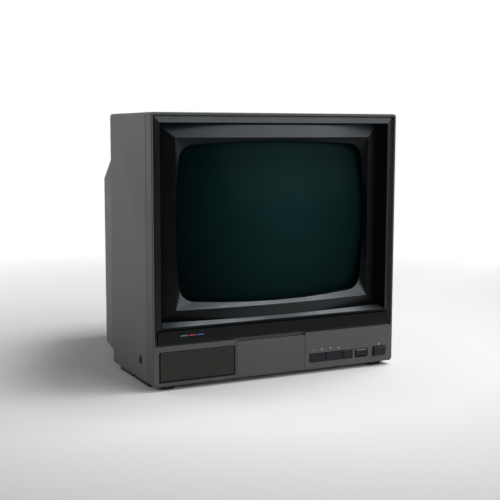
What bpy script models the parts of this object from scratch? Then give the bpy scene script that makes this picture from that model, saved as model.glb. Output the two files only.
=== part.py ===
"""A portable colour television, modelled as its real pieces around a cathode ray tube."""

import math

import bmesh
import bpy
from mathutils import Matrix, Vector

# Driving sizes in metres: X runs to the viewer's right, Y runs back from the front plane, Z runs up

# Clearance between neighbouring pieces
GAP = 0.0003

# Picture seen through the bezel, for a tube of the 14 inch class
VIEW_WIDTH = 0.2813
VIEW_HEIGHT = 0.2112
VIEW_BOW = 0.0045
VIEW_CORNER = 0.0200

# Screen bezel, named from the glass outward
CHAMFER_SIDE = 0.00245
CHAMFER_TOP = 0.0043
CHAMFER_BOTTOM = 0.00425
CHAMFER_DEPTH = 0.0048
CHAMFER_RADIUS = 0.7700
SURROUND_SIDE = 0.0199
SURROUND_TOP = 0.0159
SURROUND_BOTTOM = 0.01545
SURROUND_SETBACK = 0.0024
SURROUND_RADIUS = 1.0000
RECESS_SETBACK = 0.0046
RECESS_RADIUS = 0.7500
RECESS_DRAFT_SIDE = 0.0050
RECESS_DRAFT_TOP = 0.0029
RECESS_DRAFT_BOTTOM = 0.0040
STRIP_SIDE = 0.0072
STRIP_TOP = 0.0077
STRIP_BOTTOM = 0.0044
STRIP_SETBACK = 0.0020
STRIP_SLOPE = 0.0016
BEZEL_FLANGE = 0.0060
BEZEL_WALL = 0.0024
BEZEL_LAND = 0.0012
BEZEL_CORNER = 0.0010

# Front cabinet
LIP = 0.0025
LIP_TOP = 0.0032
GROOVE = 0.0023
GROOVE_TOP = 0.0017
GROOVE_DEPTH = 0.0050
FASCIA_HEIGHT = 0.0515
FASCIA_WALL = 0.0030
FASCIA_GROOVE = 0.0022
FRONT_DEPTH = 0.0195
PARTING_GAP = 0.0012
TONGUE = 0.0160
SHELF = 0.0030
EDGE_RADIUS = 0.0040
EDGE_BEVEL = 0.0007

# Gloss trim strip
TRIM_HEIGHT = 0.0163
TRIM_THICKNESS = 0.0035
TRIM_INSET = 0.0020

# Rear cover
WALL = 0.0026
BOX_DRAFT = 0.0008
HUMP_STEP = 0.0018
HUMP_LENGTH = 0.0355
HUMP_LOW = 0.0144
HUMP_RISE = 0.0300
RIDGE_AFTER = 0.0101
RIDGE_LOW = 0.0210
RIDGE_SPACE = 0.0130
TAIL_HALF_WIDTH = 0.0930
TAIL_LOW = 0.0300
TAIL_RISE = 0.0070
TAIL_BEVEL = 0.0080
VENT_WIDTH = 0.0040
VENT_PITCH = 0.0100
TOP_VENTS = 20
BACK_VENTS = 12
BACK_VENT_HEIGHT = 0.0600
WELL_RADIUS = 0.0046
WELL_X = 0.0620
WELL_SPACE = 0.0155
SCREW_HEAD = 0.0030
SCREW_SHANK = 0.0015
SCREW_GRIP = 0.0075

# Feet
FOOT_HEIGHT = 0.0060
FOOT_WIDTH = 0.0180
FOOT_LENGTH = 0.0120
FOOT_INSET = 0.0140
RUNNER_WIDTH = 0.0120
RUNNER_INSET = 0.0050
RUNNER_LENGTH = 0.0510
RUNNER_START = 0.0300
RUNNER_SPACE = 0.0090

# Glass of the tube
FACE_RADIUS = 0.5800
FACE_SETBACK = 0.0054
FACE_THICKNESS = 0.0105
FACE_EDGE = 0.0070
PANEL_MARGIN = 0.0190
SKIRT_THICKNESS = 0.0080
SEAL_DEPTH = 0.0650
FUNNEL_LENGTH = 0.1500
FUNNEL_GLASS = 0.0050
CONE_RADIUS = 0.0420
CONE_SHARE = 0.73
NECK_RADIUS = 0.01455
NECK_GLASS = 0.0014
NECK_LENGTH = 0.0950

# Pieces that belong to the tube
BAND_WIDTH = 0.0190
BAND_SPACE = 0.0127
BAND_THICKNESS = 0.0013
LUG_REACH = 0.0215
LUG_WIDTH = 0.0110
LUG_THICKNESS = 0.0016
LUG_BITE = 0.0009
POST_SIZE = 0.0130
MASK_GAP = 0.0120
MASK_SHEET = 0.0008
MASK_DEPTH = 0.0140
GUN_LENS = 0.82
GUN_WAIST = 0.55
COIL_RADIUS = 0.0040
LINER = 0.0020
SADDLE = 0.0040
CORE = 0.0080
YOKE_LENGTH = 0.0520
SLEEVE = 0.0016
RING_WIDTH = 0.0034
RING_RADIUS = 0.0240
RING_TAB = 0.0060
BASE_LENGTH = 0.0060
PIN_LENGTH = 0.0070
SOCKET_RADIUS = 0.0190
SOCKET_LENGTH = 0.0110
BOARD = 0.0016
NECK_BOARD = 0.0680
TAIL_SPACE = 0.0300
CAP_RADIUS = 0.0170
CAP_HEIGHT = 0.0075
LEAD_RADIUS = 0.0022
LEAD_REACH = 0.72
LEAD_RETURN = 0.62
LEAD_TAIL = 0.0102

# Controls on the fascia, named from the right edge inward
POWER_INSET = 0.0120
POWER_WIDTH = 0.0196
POWER_HEIGHT = 0.0120
POWER_PROUD = 0.0034
POWER_TRAVEL = 0.0028
POWER_ROD = 0.0025
POWER_ROD_LENGTH = 0.0150
WINDOW_SPACE = 0.00965
WINDOW_WIDTH = 0.0196
WINDOW_PROUD = 0.0012
WINDOW_BEVEL = 0.0018
KEY_SPACE = 0.00435
FUNCTION_WIDTH = 0.0152
PROGRAMME_WIDTH = 0.0259
VOLUME_WIDTH = 0.0251
KEY_HEIGHT = 0.0109
KEY_PROUD = 0.0004
KEY_GAP = 0.0006
SLOT_GAP = 0.00075
KEY_DEPTH = 0.0065
KEY_LINE = 0.0156
KEY_PIN = 0.0010
KEY_PIN_LENGTH = 0.0020
FUNCTION_TRAVEL = 0.0009
FRAME_DEPTH = 0.0040
FRAME_EDGE = 0.00175
CONTROL_MARGIN = 0.0064
CHEEK = 0.0035

# Control flap and the presets behind it
FLAP_WIDTH = 0.1030
FLAP_DROP = 0.0032
FLAP_THICKNESS = 0.0024
FLAP_RIB = 0.0040
FLAP_LIFT = 0.0006
FLAP_GAP = 0.0007
HINGE_DEPTH = 0.0026
HINGE_HEIGHT = 0.0028
HINGE_PIN = 0.0011
BAY_DEPTH = 0.0068
PAN_DEPTH = 0.0140
PAN_WALL = 0.0020
PAN_MARGIN = 0.0055
KNOB_RADIUS = 0.0075
KNOB_PITCH = 0.0280
KNOB_LENGTH = 0.0075
KNOB_SHAFT = 0.0030
KNOB_GRIP = 0.0030
POT_DEPTH = 0.0024

# Speaker and grille
GRILLE_LIP = 0.0018
GRILLE_LEFT = 0.0078
GRILLE_RIGHT = 0.0018
GRILLE_LOW = 0.0046
GRILLE_HIGH = 0.0068
GRILLE_SETBACK = 0.0006
GRILLE_FLANGE = 0.0012
GRILLE_COLUMNS = 9
GRILLE_ROWS = 7
GRILLE_WEB = 0.0016
SPEAKER_LENGTH = 0.0900
SPEAKER_HEIGHT = 0.0380
SPEAKER_DEPTH = 0.0150
SPEAKER_RIM = 0.0030
SPEAKER_SHEET = 0.0015
CONE_PAPER = 0.0012
MAGNET_RADIUS = 0.0160
MAGNET_LENGTH = 0.0110
VOICE_RADIUS = 0.0112
DUST_RADIUS = 0.0067

# Chassis
MAIN_HALF_WIDTH = 0.0800
MAIN_FRONT = 0.0620
FLYBACK_SHARE = 0.63
RAIL_WIDTH = 0.0080
RAIL_HEIGHT = 0.0100
RAIL_BITE = 0.0020
RAIL_REST = 0.0012
RAIL_LEG = 0.0800
FLYBACK_SIZE = 0.0360
FLYBACK_HEIGHT = 0.0460
TUNER_WIDTH = 0.0480
TUNER_HEIGHT = 0.0340
TUNER_DEPTH = 0.0240
SINK_WIDTH = 0.0500
SINK_HEIGHT = 0.0520
SINK_FINS = 6
TRANSFORMER_SIZE = 0.0340
TRANSFORMER_HEIGHT = 0.0300
CAPACITOR_RADIUS = 0.0125
CAPACITOR_HEIGHT = 0.0300

# Sockets
EARPHONE_DEPTH = 0.0453
EARPHONE_HEIGHT = 0.0275
EARPHONE_RADIUS = 0.0058
EARPHONE_BORE = 0.00175
EARPHONE_LENGTH = 0.0110
AERIAL_X = 0.0400
AERIAL_HEIGHT = 0.0620
AERIAL_RADIUS = 0.0062
AERIAL_BORE = 0.0046
AERIAL_PIN = 0.0020
GLAND_X = -0.0500
GLAND_HEIGHT = 0.0560
GLAND_RADIUS = 0.0065
GLAND_BORE = 0.0035

# Counts of facets
SIDE_STEPS = 6
CORNER_STEPS = 5
ROUND = 16
SMALL_ROUND = 12
SCREW_ROUND = 8

# Places worked out from the driving sizes
VIEW_HALF_WIDTH = VIEW_WIDTH / 2
VIEW_HALF_HEIGHT = VIEW_HEIGHT / 2
RIDGE_HALF_WIDTH = VIEW_HALF_WIDTH + CHAMFER_SIDE
RECESS_HALF_WIDTH = RIDGE_HALF_WIDTH + SURROUND_SIDE
STRIP_HALF_WIDTH = RECESS_HALF_WIDTH + RECESS_DRAFT_SIDE
BEZEL_HALF_WIDTH = STRIP_HALF_WIDTH + STRIP_SIDE
HALF_WIDTH = BEZEL_HALF_WIDTH + GROOVE + LIP
TRIM_Z = FASCIA_HEIGHT + FASCIA_GROOVE
BEZEL_LOW = TRIM_Z + TRIM_HEIGHT + GAP
STRIP_LOW = BEZEL_LOW + STRIP_BOTTOM
RECESS_LOW = STRIP_LOW + RECESS_DRAFT_BOTTOM
RIDGE_Z_LOW = RECESS_LOW + SURROUND_BOTTOM
TUBE_Z = RIDGE_Z_LOW + CHAMFER_BOTTOM + VIEW_HALF_HEIGHT
RIDGE_Z_HIGH = TUBE_Z + VIEW_HALF_HEIGHT + CHAMFER_TOP
RECESS_HIGH = RIDGE_Z_HIGH + SURROUND_TOP
STRIP_HIGH = RECESS_HIGH + RECESS_DRAFT_TOP
BEZEL_HIGH = STRIP_HIGH + STRIP_TOP
HEIGHT = BEZEL_HIGH + GROOVE_TOP + LIP_TOP
BEZEL_SEAT = STRIP_SETBACK + BEZEL_FLANGE + GAP
BEZEL_BOW = (RECESS_HALF_WIDTH + BEZEL_WALL) ** 2 / (2 * RECESS_RADIUS)
BEZEL_BACK = RECESS_SETBACK + BEZEL_WALL + BEZEL_BOW
BAND_DEPTH = BEZEL_BACK + BAND_SPACE
COVER_FRONT = FRONT_DEPTH + PARTING_GAP
TONGUE_BACK = FRONT_DEPTH + TONGUE
TONGUE_INSET = WALL + GAP
CAVITY_HALF_WIDTH = STRIP_HALF_WIDTH + BEZEL_WALL + 2 * GAP
CAVITY_HIGH = STRIP_HIGH + BEZEL_WALL + 2 * GAP
CAVITY_LOW = STRIP_LOW - BEZEL_WALL - GAP
FLOOR = TONGUE_INSET + SHELF - BOX_DRAFT
PANEL_HALF_WIDTH = VIEW_HALF_WIDTH + PANEL_MARGIN
PANEL_HALF_HEIGHT = VIEW_HALF_HEIGHT + PANEL_MARGIN
PANEL_CORNER = VIEW_CORNER + PANEL_MARGIN
SEAL_Y = FACE_SETBACK + SEAL_DEPTH
CONE_END = SEAL_Y + FUNNEL_LENGTH
FLARE_STOPS = [CONE_SHARE * part for part in (0, 0.16, 0.41, 0.71)]
CONE_STOPS = [1 - (1 - CONE_SHARE) * part for part in (1, 0.5, 0.2, 0)]
YOKE_FRONT = SEAL_Y + FUNNEL_LENGTH * CONE_SHARE
RIDGE_DEPTH = YOKE_FRONT + RIDGE_AFTER
BOX_DEPTH = RIDGE_DEPTH - HUMP_LENGTH
RIDGE_HIGH = TUBE_Z + CONE_RADIUS + RIDGE_SPACE
HUMP_HIGH = RIDGE_HIGH + HUMP_RISE
TAIL_HIGH = TUBE_Z + NECK_BOARD / 2 + TAIL_RISE
NECK_END = CONE_END + NECK_LENGTH
BASE_BACK = NECK_END + GAP + BASE_LENGTH
SOCKET_BACK = BASE_BACK + GAP + SOCKET_LENGTH
NECK_BOARD_Y = SOCKET_BACK + GAP
DEPTH = NECK_BOARD_Y + BOARD + TAIL_SPACE + WALL
LUG_Y = BAND_DEPTH + LUG_THICKNESS
CORNER_OUT = PANEL_CORNER * math.sqrt(0.5) - PANEL_CORNER
LUG_X = PANEL_HALF_WIDTH - VIEW_BOW + CORNER_OUT + LUG_REACH * math.sqrt(0.5)
LUG_Z = PANEL_HALF_HEIGHT - VIEW_BOW + CORNER_OUT + LUG_REACH * math.sqrt(0.5)
WELL_FRONT = TONGUE_BACK + WELL_SPACE
WELL_HIGH = HEIGHT - WALL - BOX_DRAFT - GAP - WELL_RADIUS
WELL_LOW = FLOOR + WELL_RADIUS - GAP
POWER_X = HALF_WIDTH - POWER_INSET - POWER_WIDTH / 2
WINDOW_X = POWER_X - POWER_WIDTH / 2 - WINDOW_SPACE - WINDOW_WIDTH / 2
KEYS_RIGHT = WINDOW_X - WINDOW_WIDTH / 2 - KEY_SPACE
FUNCTION_X = KEYS_RIGHT - SLOT_GAP - FUNCTION_WIDTH / 2
PROGRAMME_X = FUNCTION_X - FUNCTION_WIDTH / 2 - KEY_GAP - PROGRAMME_WIDTH / 2
VOLUME_X = PROGRAMME_X - PROGRAMME_WIDTH / 2 - KEY_GAP - VOLUME_WIDTH / 2
KEYS_LEFT = VOLUME_X - VOLUME_WIDTH / 2 - SLOT_GAP
KEY_PIVOT = FASCIA_WALL + GAP + KEY_PIN + GAP
BAY_RIGHT = KEYS_LEFT - CONTROL_MARGIN
BAY_LEFT = BAY_RIGHT - FLAP_WIDTH
FLAP_TOP = FASCIA_HEIGHT - FLAP_DROP
PAN_BACK = PAN_DEPTH + PAN_WALL
PAN_LOW = HINGE_HEIGHT + FLAP_RIB
PAN_HIGH = FLAP_TOP - PAN_WALL
KNOB_Z = (PAN_LOW + PAN_HIGH) / 2
KNOB_X = (BAY_LEFT + BAY_RIGHT) / 2
CONTROL_BOARD_Y = PAN_BACK + GAP + POT_DEPTH
GRILLE_X0 = GRILLE_LEFT - HALF_WIDTH
GRILLE_X1 = BAY_LEFT - GRILLE_RIGHT
GRILLE_Z1 = FASCIA_HEIGHT - GRILLE_HIGH
GRILLE_BACK = FASCIA_WALL + GAP + GRILLE_FLANGE
SPEAKER_X = (GRILLE_X0 + GRILLE_X1) / 2
SPEAKER_Z = (GRILLE_LOW + GRILLE_Z1) / 2
SPEAKER_Y = GRILLE_BACK + GAP
RAIL_Z = TAIL_LOW + WALL + RAIL_REST
MAIN_BOARD_Z = RAIL_Z + RAIL_HEIGHT / 2
FLYBACK_X = MAIN_HALF_WIDTH * FLYBACK_SHARE
BOARD_TOP = MAIN_BOARD_Z + BOARD
MAIN_BACK = NECK_BOARD_Y + BOARD
YOKE_BACK = YOKE_FRONT + YOKE_LENGTH
SLEEVE_FRONT = YOKE_BACK + 3 * GAP + LINER
SLEEVE_RADIUS = NECK_RADIUS + GAP + SLEEVE
SLEEVE_BACK = SLEEVE_FRONT + LINER + 3 * (RING_WIDTH + GAP) + GAP


def clear_scene():
    """Removes the objects of the scene that the script starts in."""
    for old in list(bpy.data.objects):
        bpy.data.objects.remove(old, do_unlink=True)


def finish(name, colour, roughness, metallic=0.0):
    """One Principled material."""
    made = bpy.data.materials.new(name)
    made.use_nodes = True
    shader = made.node_tree.nodes["Principled BSDF"]
    shader.inputs["Base Color"].default_value = (*colour, 1.0)
    shader.inputs["Roughness"].default_value = roughness
    shader.inputs["Metallic"].default_value = metallic
    return made


def empty(name, place, parent=None):
    """An axis that pieces hang from."""
    made = bpy.data.objects.new(name, None)
    made.location = place
    made.parent = parent
    bpy.context.scene.collection.objects.link(made)
    return made


def piece(name, shape, surface, parent, origin=(0, 0, 0), smooth=False):
    """Turns a bmesh drawn in cabinet places into an object whose origin lies at the given place."""
    bmesh.ops.translate(shape, verts=shape.verts, vec=-Vector(origin))
    mesh = bpy.data.meshes.new(name)
    shape.to_mesh(mesh)
    shape.free()
    if surface:
        mesh.materials.append(surface)
    if smooth:
        mesh.shade_smooth()
        mesh.set_sharp_from_angle(angle=math.radians(35))
    made = bpy.data.objects.new(name, mesh)
    made.location = origin
    made.parent = parent
    bpy.context.scene.collection.objects.link(made)
    return made


def change(target, operation, shape, name):
    """Adds a Boolean to the target, worked by a hidden helper object."""
    helper = piece(name, shape, None, target.parent)
    helper.hide_render = True
    helper.display_type = "WIRE"
    step = target.modifiers.new(name, "BOOLEAN")
    step.operation = operation
    step.solver = "EXACT"
    step.object = helper
    return helper


def cut(target, shape, name):
    """Takes a shape away from the target."""
    return change(target, "DIFFERENCE", shape, name)


def join(target, shape, name):
    """Grows the target by a shape."""
    return change(target, "UNION", shape, name)


def skin(loops, ring=False, first=None, last=None):
    """Faces between loops of equal count: closed into a ring, or ended by flat caps or points."""
    shape = bmesh.new()
    rows = [[shape.verts.new(point) for point in loop] for loop in loops]
    pairs = list(zip(rows, rows[1:]))
    if ring:
        pairs.append((rows[-1], rows[0]))
    for here, there in pairs:
        for index in range(len(here)):
            after = (index + 1) % len(here)
            shape.faces.new((here[index], here[after], there[after], there[index]))
    if not ring:
        for row, tip in ((rows[0], first), (rows[-1], last)):
            if tip is None:
                shape.faces.new(row)
                continue
            point = shape.verts.new(tip)
            for index in range(len(row)):
                shape.faces.new((row[index], row[(index + 1) % len(row)], point))
    bmesh.ops.recalc_face_normals(shape, faces=shape.faces)
    return shape


def together(shapes):
    """Several separate shapes in one bmesh."""
    whole = bmesh.new()
    for shape in shapes:
        held = bpy.data.meshes.new("held")
        shape.to_mesh(held)
        shape.free()
        whole.from_mesh(held)
        bpy.data.meshes.remove(held)
    return whole


def box(x0, x1, y0, y1, z0, z1):
    """A plain box between two corners."""
    return skin([[(x0, y, z0), (x1, y, z0), (x1, y, z1), (x0, y, z1)] for y in (y0, y1)])


def circle(axis, centre, radius, along, count):
    """A loop of points round an axis; the centre gives the two other coordinates in their order."""
    loop = []
    for index in range(count):
        angle = 2 * math.pi * index / count
        first = centre[0] + radius * math.cos(angle)
        second = centre[1] + radius * math.sin(angle)
        loop.append({
            "X": (along, first, second),
            "Y": (first, along, second),
            "Z": (first, second, along),
        }[axis])
    return loop


def turned(axis, centre, profile, count=ROUND, ring=False):
    """A turned piece from a profile of radius and place along the axis."""
    return skin([circle(axis, centre, radius, along, count) for radius, along in profile], ring)


def outline(half_width, half_height, corner, bow=0.0, sides=SIDE_STEPS, corners=CORNER_STEPS):
    """A rectangle round the origin with round corners and sides that swell by the bow at their middles."""
    wide = half_width - bow
    high = half_height - bow
    points = []
    for quarter in range(4):
        turn = Matrix.Rotation(quarter * math.pi / 2, 2)
        reach, span = (wide, high) if quarter % 2 == 0 else (high, wide)
        straight = span - corner
        for step in range(sides + 1):
            share = 2 * step / sides - 1
            points.append(turn @ Vector((reach + bow * (1 - share * share), share * straight)))
        for step in range(1, corners):
            angle = step / corners * math.pi / 2
            arc = Vector((math.cos(angle), math.sin(angle))) * corner
            points.append(turn @ (Vector((reach - corner, straight)) + arc))
    return points


def lift(points, y, centre_x=0.0, centre_z=0.0):
    """Stands a flat outline up at a depth, which may follow a rule of X and Z."""
    loop = []
    for across, up in points:
        x = centre_x + across
        z = centre_z + up
        loop.append((x, y(x, z) if callable(y) else y, z))
    return loop


def frame_loop(half_width, low, high, y, corner=BEZEL_CORNER):
    """A rectangular loop between two heights."""
    points = outline(half_width, (high - low) / 2, corner)
    return lift(points, y, centre_z=(low + high) / 2)


def section(half_width, low, high, y, radius):
    """A loop of the rear cover, with plain sides."""
    points = outline(half_width, (high - low) / 2, radius, sides=1, corners=3)
    return lift(points, y, centre_z=(low + high) / 2)


def face_depth(x, z):
    """Depth of the glass face, a part of a sphere whose top lies on the axis of the tube."""
    away = x * x + (z - TUBE_Z) ** 2
    return FACE_SETBACK + FACE_RADIUS - math.sqrt(FACE_RADIUS * FACE_RADIUS - away)


def tube_outline(grow, sides=SIDE_STEPS, corners=CORNER_STEPS):
    """The outline of the glass panel, grown by an amount."""
    return outline(
        PANEL_HALF_WIDTH + grow, PANEL_HALF_HEIGHT + grow, PANEL_CORNER + grow, VIEW_BOW, sides, corners
    )


def sweep(points, radius, count=6):
    """A round tube along a smooth line through the points."""
    route = []
    ends = [points[0], *points, points[-1]]
    for index in range(len(points) - 1):
        before, here, there, after = (Vector(point) for point in ends[index:index + 4])
        for step in range(3):
            share = step / 3
            pull = (there - before) / 2
            push = (after - here) / 2
            cubic = 2 * share ** 3 - 3 * share ** 2
            spot = (cubic + 1) * here - cubic * there
            spot += (share ** 3 - 2 * share ** 2 + share) * pull + (share ** 3 - share ** 2) * push
            route.append(spot)
    route.append(Vector(points[-1]))
    loops = []
    side = None
    for index, spot in enumerate(route):
        ahead = route[min(index + 1, len(route) - 1)] - route[max(index - 1, 0)]
        ahead.normalize()
        side = ahead.orthogonal() if side is None else side - side.project(ahead)
        side.normalize()
        over = ahead.cross(side)
        turns = [2 * math.pi * step / count for step in range(count)]
        loops.append([spot + radius * (side * math.cos(turn) + over * math.sin(turn)) for turn in turns])
    return skin(loops)


def screw(centre, head_front, shank_front):
    """A pan head screw along Y, driven toward the front, with a recess in its head."""
    head_back = head_front + SCREW_HEAD * 0.6
    profile = [
        (SCREW_SHANK, shank_front),
        (SCREW_SHANK, head_front),
        (SCREW_HEAD, head_front),
        (SCREW_HEAD, head_back - SCREW_HEAD * 0.2),
        (SCREW_HEAD * 0.75, head_back),
        (SCREW_HEAD * 0.4, head_back),
        (SCREW_HEAD * 0.2, head_front + SCREW_HEAD * 0.2),
    ]
    return turned("Y", centre, profile, SCREW_ROUND)


def build_front_cabinet(root, surface):
    """The grey sleeve with its lip, its fascia, and the posts that carry the tube and the rear cover."""
    middle = HEIGHT / 2
    rows = []
    for inset, y in (
        (EDGE_BEVEL, 0),
        (0, EDGE_BEVEL),
        (0, FRONT_DEPTH),
        (TONGUE_INSET, FRONT_DEPTH),
        (TONGUE_INSET, TONGUE_BACK),
    ):
        points = outline(HALF_WIDTH - inset, middle - inset, EDGE_RADIUS, sides=1, corners=3)
        rows.append(lift(points, y, centre_z=middle))
    cabinet = piece("front_cabinet", skin(rows), surface, root)
    window = HALF_WIDTH - LIP
    seat = BEZEL_HALF_WIDTH + GAP
    behind = TONGUE_BACK + 0.01
    cut(cabinet, box(-window, window, -0.01, GROOVE_DEPTH, FASCIA_HEIGHT, HEIGHT - LIP_TOP), "cut_window")
    cut(cabinet, box(-seat, seat, 0, BEZEL_SEAT, BEZEL_LOW - GAP, BEZEL_HIGH + GAP), "cut_bezel_seat")
    inside = CAVITY_HALF_WIDTH
    cut(cabinet, box(-inside, inside, 0, behind, CAVITY_LOW, CAVITY_HIGH), "cut_tube_space")
    core = GROOVE_DEPTH + SHELF
    cut(cabinet, box(-inside, inside, core, behind, FASCIA_HEIGHT, CAVITY_LOW - SHELF / 2), "cut_trim_core")
    roof = FASCIA_HEIGHT - SHELF
    left = BAY_LEFT - CHEEK
    right = BAY_RIGHT + CHEEK
    cut(cabinet, box(-inside, left, FASCIA_WALL, behind, FLOOR, roof), "cut_speaker_space")
    cut(cabinet, box(right, inside, FASCIA_WALL, behind, FLOOR, roof), "cut_key_space")
    cut(cabinet, box(left - CHEEK, right + CHEEK, PAN_BACK, behind, FLOOR, roof), "cut_board_space")
    bay = FLAP_THICKNESS + GAP * 2
    cut(cabinet, box(BAY_LEFT, BAY_RIGHT, -0.01, bay, -0.01, FASCIA_HEIGHT + GAP), "cut_flap_bay")
    groove = box(BAY_LEFT, BAY_RIGHT, -0.01, GROOVE_DEPTH, FLAP_TOP - GAP, FASCIA_HEIGHT + GAP)
    cut(cabinet, groove, "cut_finger_groove")
    swing = HINGE_HEIGHT + FLAP_RIB
    cut(cabinet, box(BAY_LEFT, BAY_RIGHT, -0.01, BAY_DEPTH, -0.01, swing), "cut_flap_swing")
    pan_left = BAY_LEFT + PAN_MARGIN
    pan_right = BAY_RIGHT - PAN_MARGIN
    cut(cabinet, box(pan_left, pan_right, 0, PAN_DEPTH, PAN_LOW + GAP, PAN_HIGH), "cut_pan")
    pin = HINGE_PIN + GAP
    reach = CHEEK - GAP
    line = [(pin, BAY_LEFT - reach), (pin, BAY_RIGHT + reach)]
    cut(cabinet, turned("X", (HINGE_DEPTH, HINGE_HEIGHT), line, SMALL_ROUND), "cut_hinge_holes")
    holes = []
    for place in (-1, 0, 1):
        line = [(KNOB_SHAFT + GAP, PAN_DEPTH / 2), (KNOB_SHAFT + GAP, behind)]
        holes.append(turned("Y", (KNOB_X + place * KNOB_PITCH, KNOB_Z), line, SMALL_ROUND))
    cut(cabinet, together(holes), "cut_knob_holes")
    speaker = box(GRILLE_X0, GRILLE_X1, -0.01, FASCIA_WALL * 2, GRILLE_LOW, GRILLE_Z1)
    cut(cabinet, speaker, "cut_grille_opening")
    tall = KEY_HEIGHT / 2 + SLOT_GAP
    low = KEY_LINE - tall
    high = KEY_LINE + tall
    cut(cabinet, box(KEYS_LEFT, KEYS_RIGHT, -0.01, FASCIA_WALL * 2, low, high), "cut_key_slot")
    wide = WINDOW_WIDTH / 2 + SLOT_GAP
    sensor = box(WINDOW_X - wide, WINDOW_X + wide, -0.01, FASCIA_WALL * 2, low, high)
    cut(cabinet, sensor, "cut_sensor_hole")
    wide = POWER_WIDTH / 2 + SLOT_GAP
    tall = POWER_HEIGHT / 2 + SLOT_GAP
    low = KEY_LINE - tall
    high = KEY_LINE + tall
    power = box(POWER_X - wide, POWER_X + wide, -0.01, FASCIA_WALL * 2, low, high)
    cut(cabinet, power, "cut_power_hole")
    posts = []
    pilots = []
    post_back = LUG_Y - LUG_THICKNESS - GAP
    half = POST_SIZE / 2
    for side in (-1, 1):
        for up in (-1, 1):
            z = TUBE_Z + up * LUG_Z
            ends = sorted((side * (LUG_X - half), side * (CAVITY_HALF_WIDTH + SHELF / 2)))
            posts.append(box(*ends, BEZEL_BACK + GAP, post_back, z - half, z + half))
            bottom = LUG_Y - SCREW_GRIP - 2 * GAP
            hole = [(SCREW_SHANK + GAP, bottom), (SCREW_SHANK + GAP, post_back + POST_SIZE)]
            pilots.append(turned("Y", (side * LUG_X, z), hole, SCREW_ROUND))
        for z, wall in ((WELL_HIGH, SHELF), (WELL_LOW, -SHELF)):
            x = side * WELL_X
            low, high = sorted((z - wall, CAVITY_HIGH + SHELF / 2 if wall > 0 else FLOOR - SHELF / 2))
            low = min(low, z - WELL_RADIUS + GAP)
            high = max(high, z + WELL_RADIUS - GAP)
            start = CONTROL_BOARD_Y + BOARD + POT_DEPTH if wall < 0 else BEZEL_BACK + GAP
            wide = WELL_RADIUS - GAP
            posts.append(box(x - wide, x + wide, start, WELL_FRONT - GAP, low, high))
            bottom = WELL_FRONT - SCREW_GRIP - 2 * GAP
            hole = [(SCREW_SHANK + GAP, bottom), (SCREW_SHANK + GAP, WELL_FRONT + POST_SIZE)]
            pilots.append(turned("Y", (x, z), hole, SCREW_ROUND))
    join(cabinet, together(posts), "add_posts")
    cut(cabinet, together(pilots), "cut_pilot_holes")


def build_bezel(root, surface):
    """The dark ring round the glass: strip, recess, raised surround, chamfer, inner wall and two legs."""
    view = outline(VIEW_HALF_WIDTH, VIEW_HALF_HEIGHT, VIEW_CORNER, VIEW_BOW)
    grown = outline(
        VIEW_HALF_WIDTH + BEZEL_LAND, VIEW_HALF_HEIGHT + BEZEL_LAND, VIEW_CORNER + BEZEL_LAND, VIEW_BOW
    )

    def glass_edge(x, z):
        return face_depth(x, z) - 2 * GAP

    def bowed(setback, radius):
        return lambda x, z: setback + x * x / (2 * radius)

    flange_back = STRIP_SETBACK + BEZEL_FLANGE
    wall = BEZEL_WALL
    recess = bowed(RECESS_SETBACK, RECESS_RADIUS)
    recess_back = bowed(RECESS_SETBACK + wall, RECESS_RADIUS)
    ridge = bowed(SURROUND_SETBACK, SURROUND_RADIUS)
    ridge_back = bowed(SURROUND_SETBACK + wall, SURROUND_RADIUS)
    edge = bowed(SURROUND_SETBACK + CHAMFER_DEPTH, CHAMFER_RADIUS)
    loops = [
        frame_loop(BEZEL_HALF_WIDTH, BEZEL_LOW, BEZEL_HIGH, flange_back),
        frame_loop(BEZEL_HALF_WIDTH, BEZEL_LOW, BEZEL_HIGH, STRIP_SETBACK + STRIP_SLOPE),
        frame_loop(STRIP_HALF_WIDTH, STRIP_LOW, STRIP_HIGH, STRIP_SETBACK),
        frame_loop(RECESS_HALF_WIDTH, RECESS_LOW, RECESS_HIGH, recess),
        frame_loop(RIDGE_HALF_WIDTH, RIDGE_Z_LOW, RIDGE_Z_HIGH, ridge),
        lift(view, edge, centre_z=TUBE_Z),
        lift(view, glass_edge, centre_z=TUBE_Z),
        lift(grown, glass_edge, centre_z=TUBE_Z),
        frame_loop(RIDGE_HALF_WIDTH + wall, RIDGE_Z_LOW - wall, RIDGE_Z_HIGH + wall, ridge_back),
        frame_loop(RECESS_HALF_WIDTH + wall, RECESS_LOW - wall, RECESS_HIGH + wall, recess_back),
        frame_loop(STRIP_HALF_WIDTH + wall, STRIP_LOW - wall, STRIP_HIGH + wall, flange_back),
    ]
    bezel = piece("screen_bezel", skin(loops, ring=True), surface, root, smooth=True)
    legs = []
    for side in (-1, 1):
        ends = sorted((side * (BEZEL_HALF_WIDTH - TRIM_INSET), side * BEZEL_HALF_WIDTH))
        front = STRIP_SETBACK + STRIP_SLOPE
        legs.append(box(*ends, front, GROOVE_DEPTH - GAP, TRIM_Z, BEZEL_LOW + BEZEL_CORNER + GAP))
    join(bezel, together(legs), "add_bezel_legs")


def build_trim(root, surface):
    """The gloss strip between the bezel and the fascia."""
    back = GROOVE_DEPTH - GAP
    half = BEZEL_HALF_WIDTH - TRIM_INSET - GAP
    shape = box(-half, half, back - TRIM_THICKNESS, back, TRIM_Z, TRIM_Z + TRIM_HEIGHT)
    piece("trim_strip", shape, surface, root)


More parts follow.
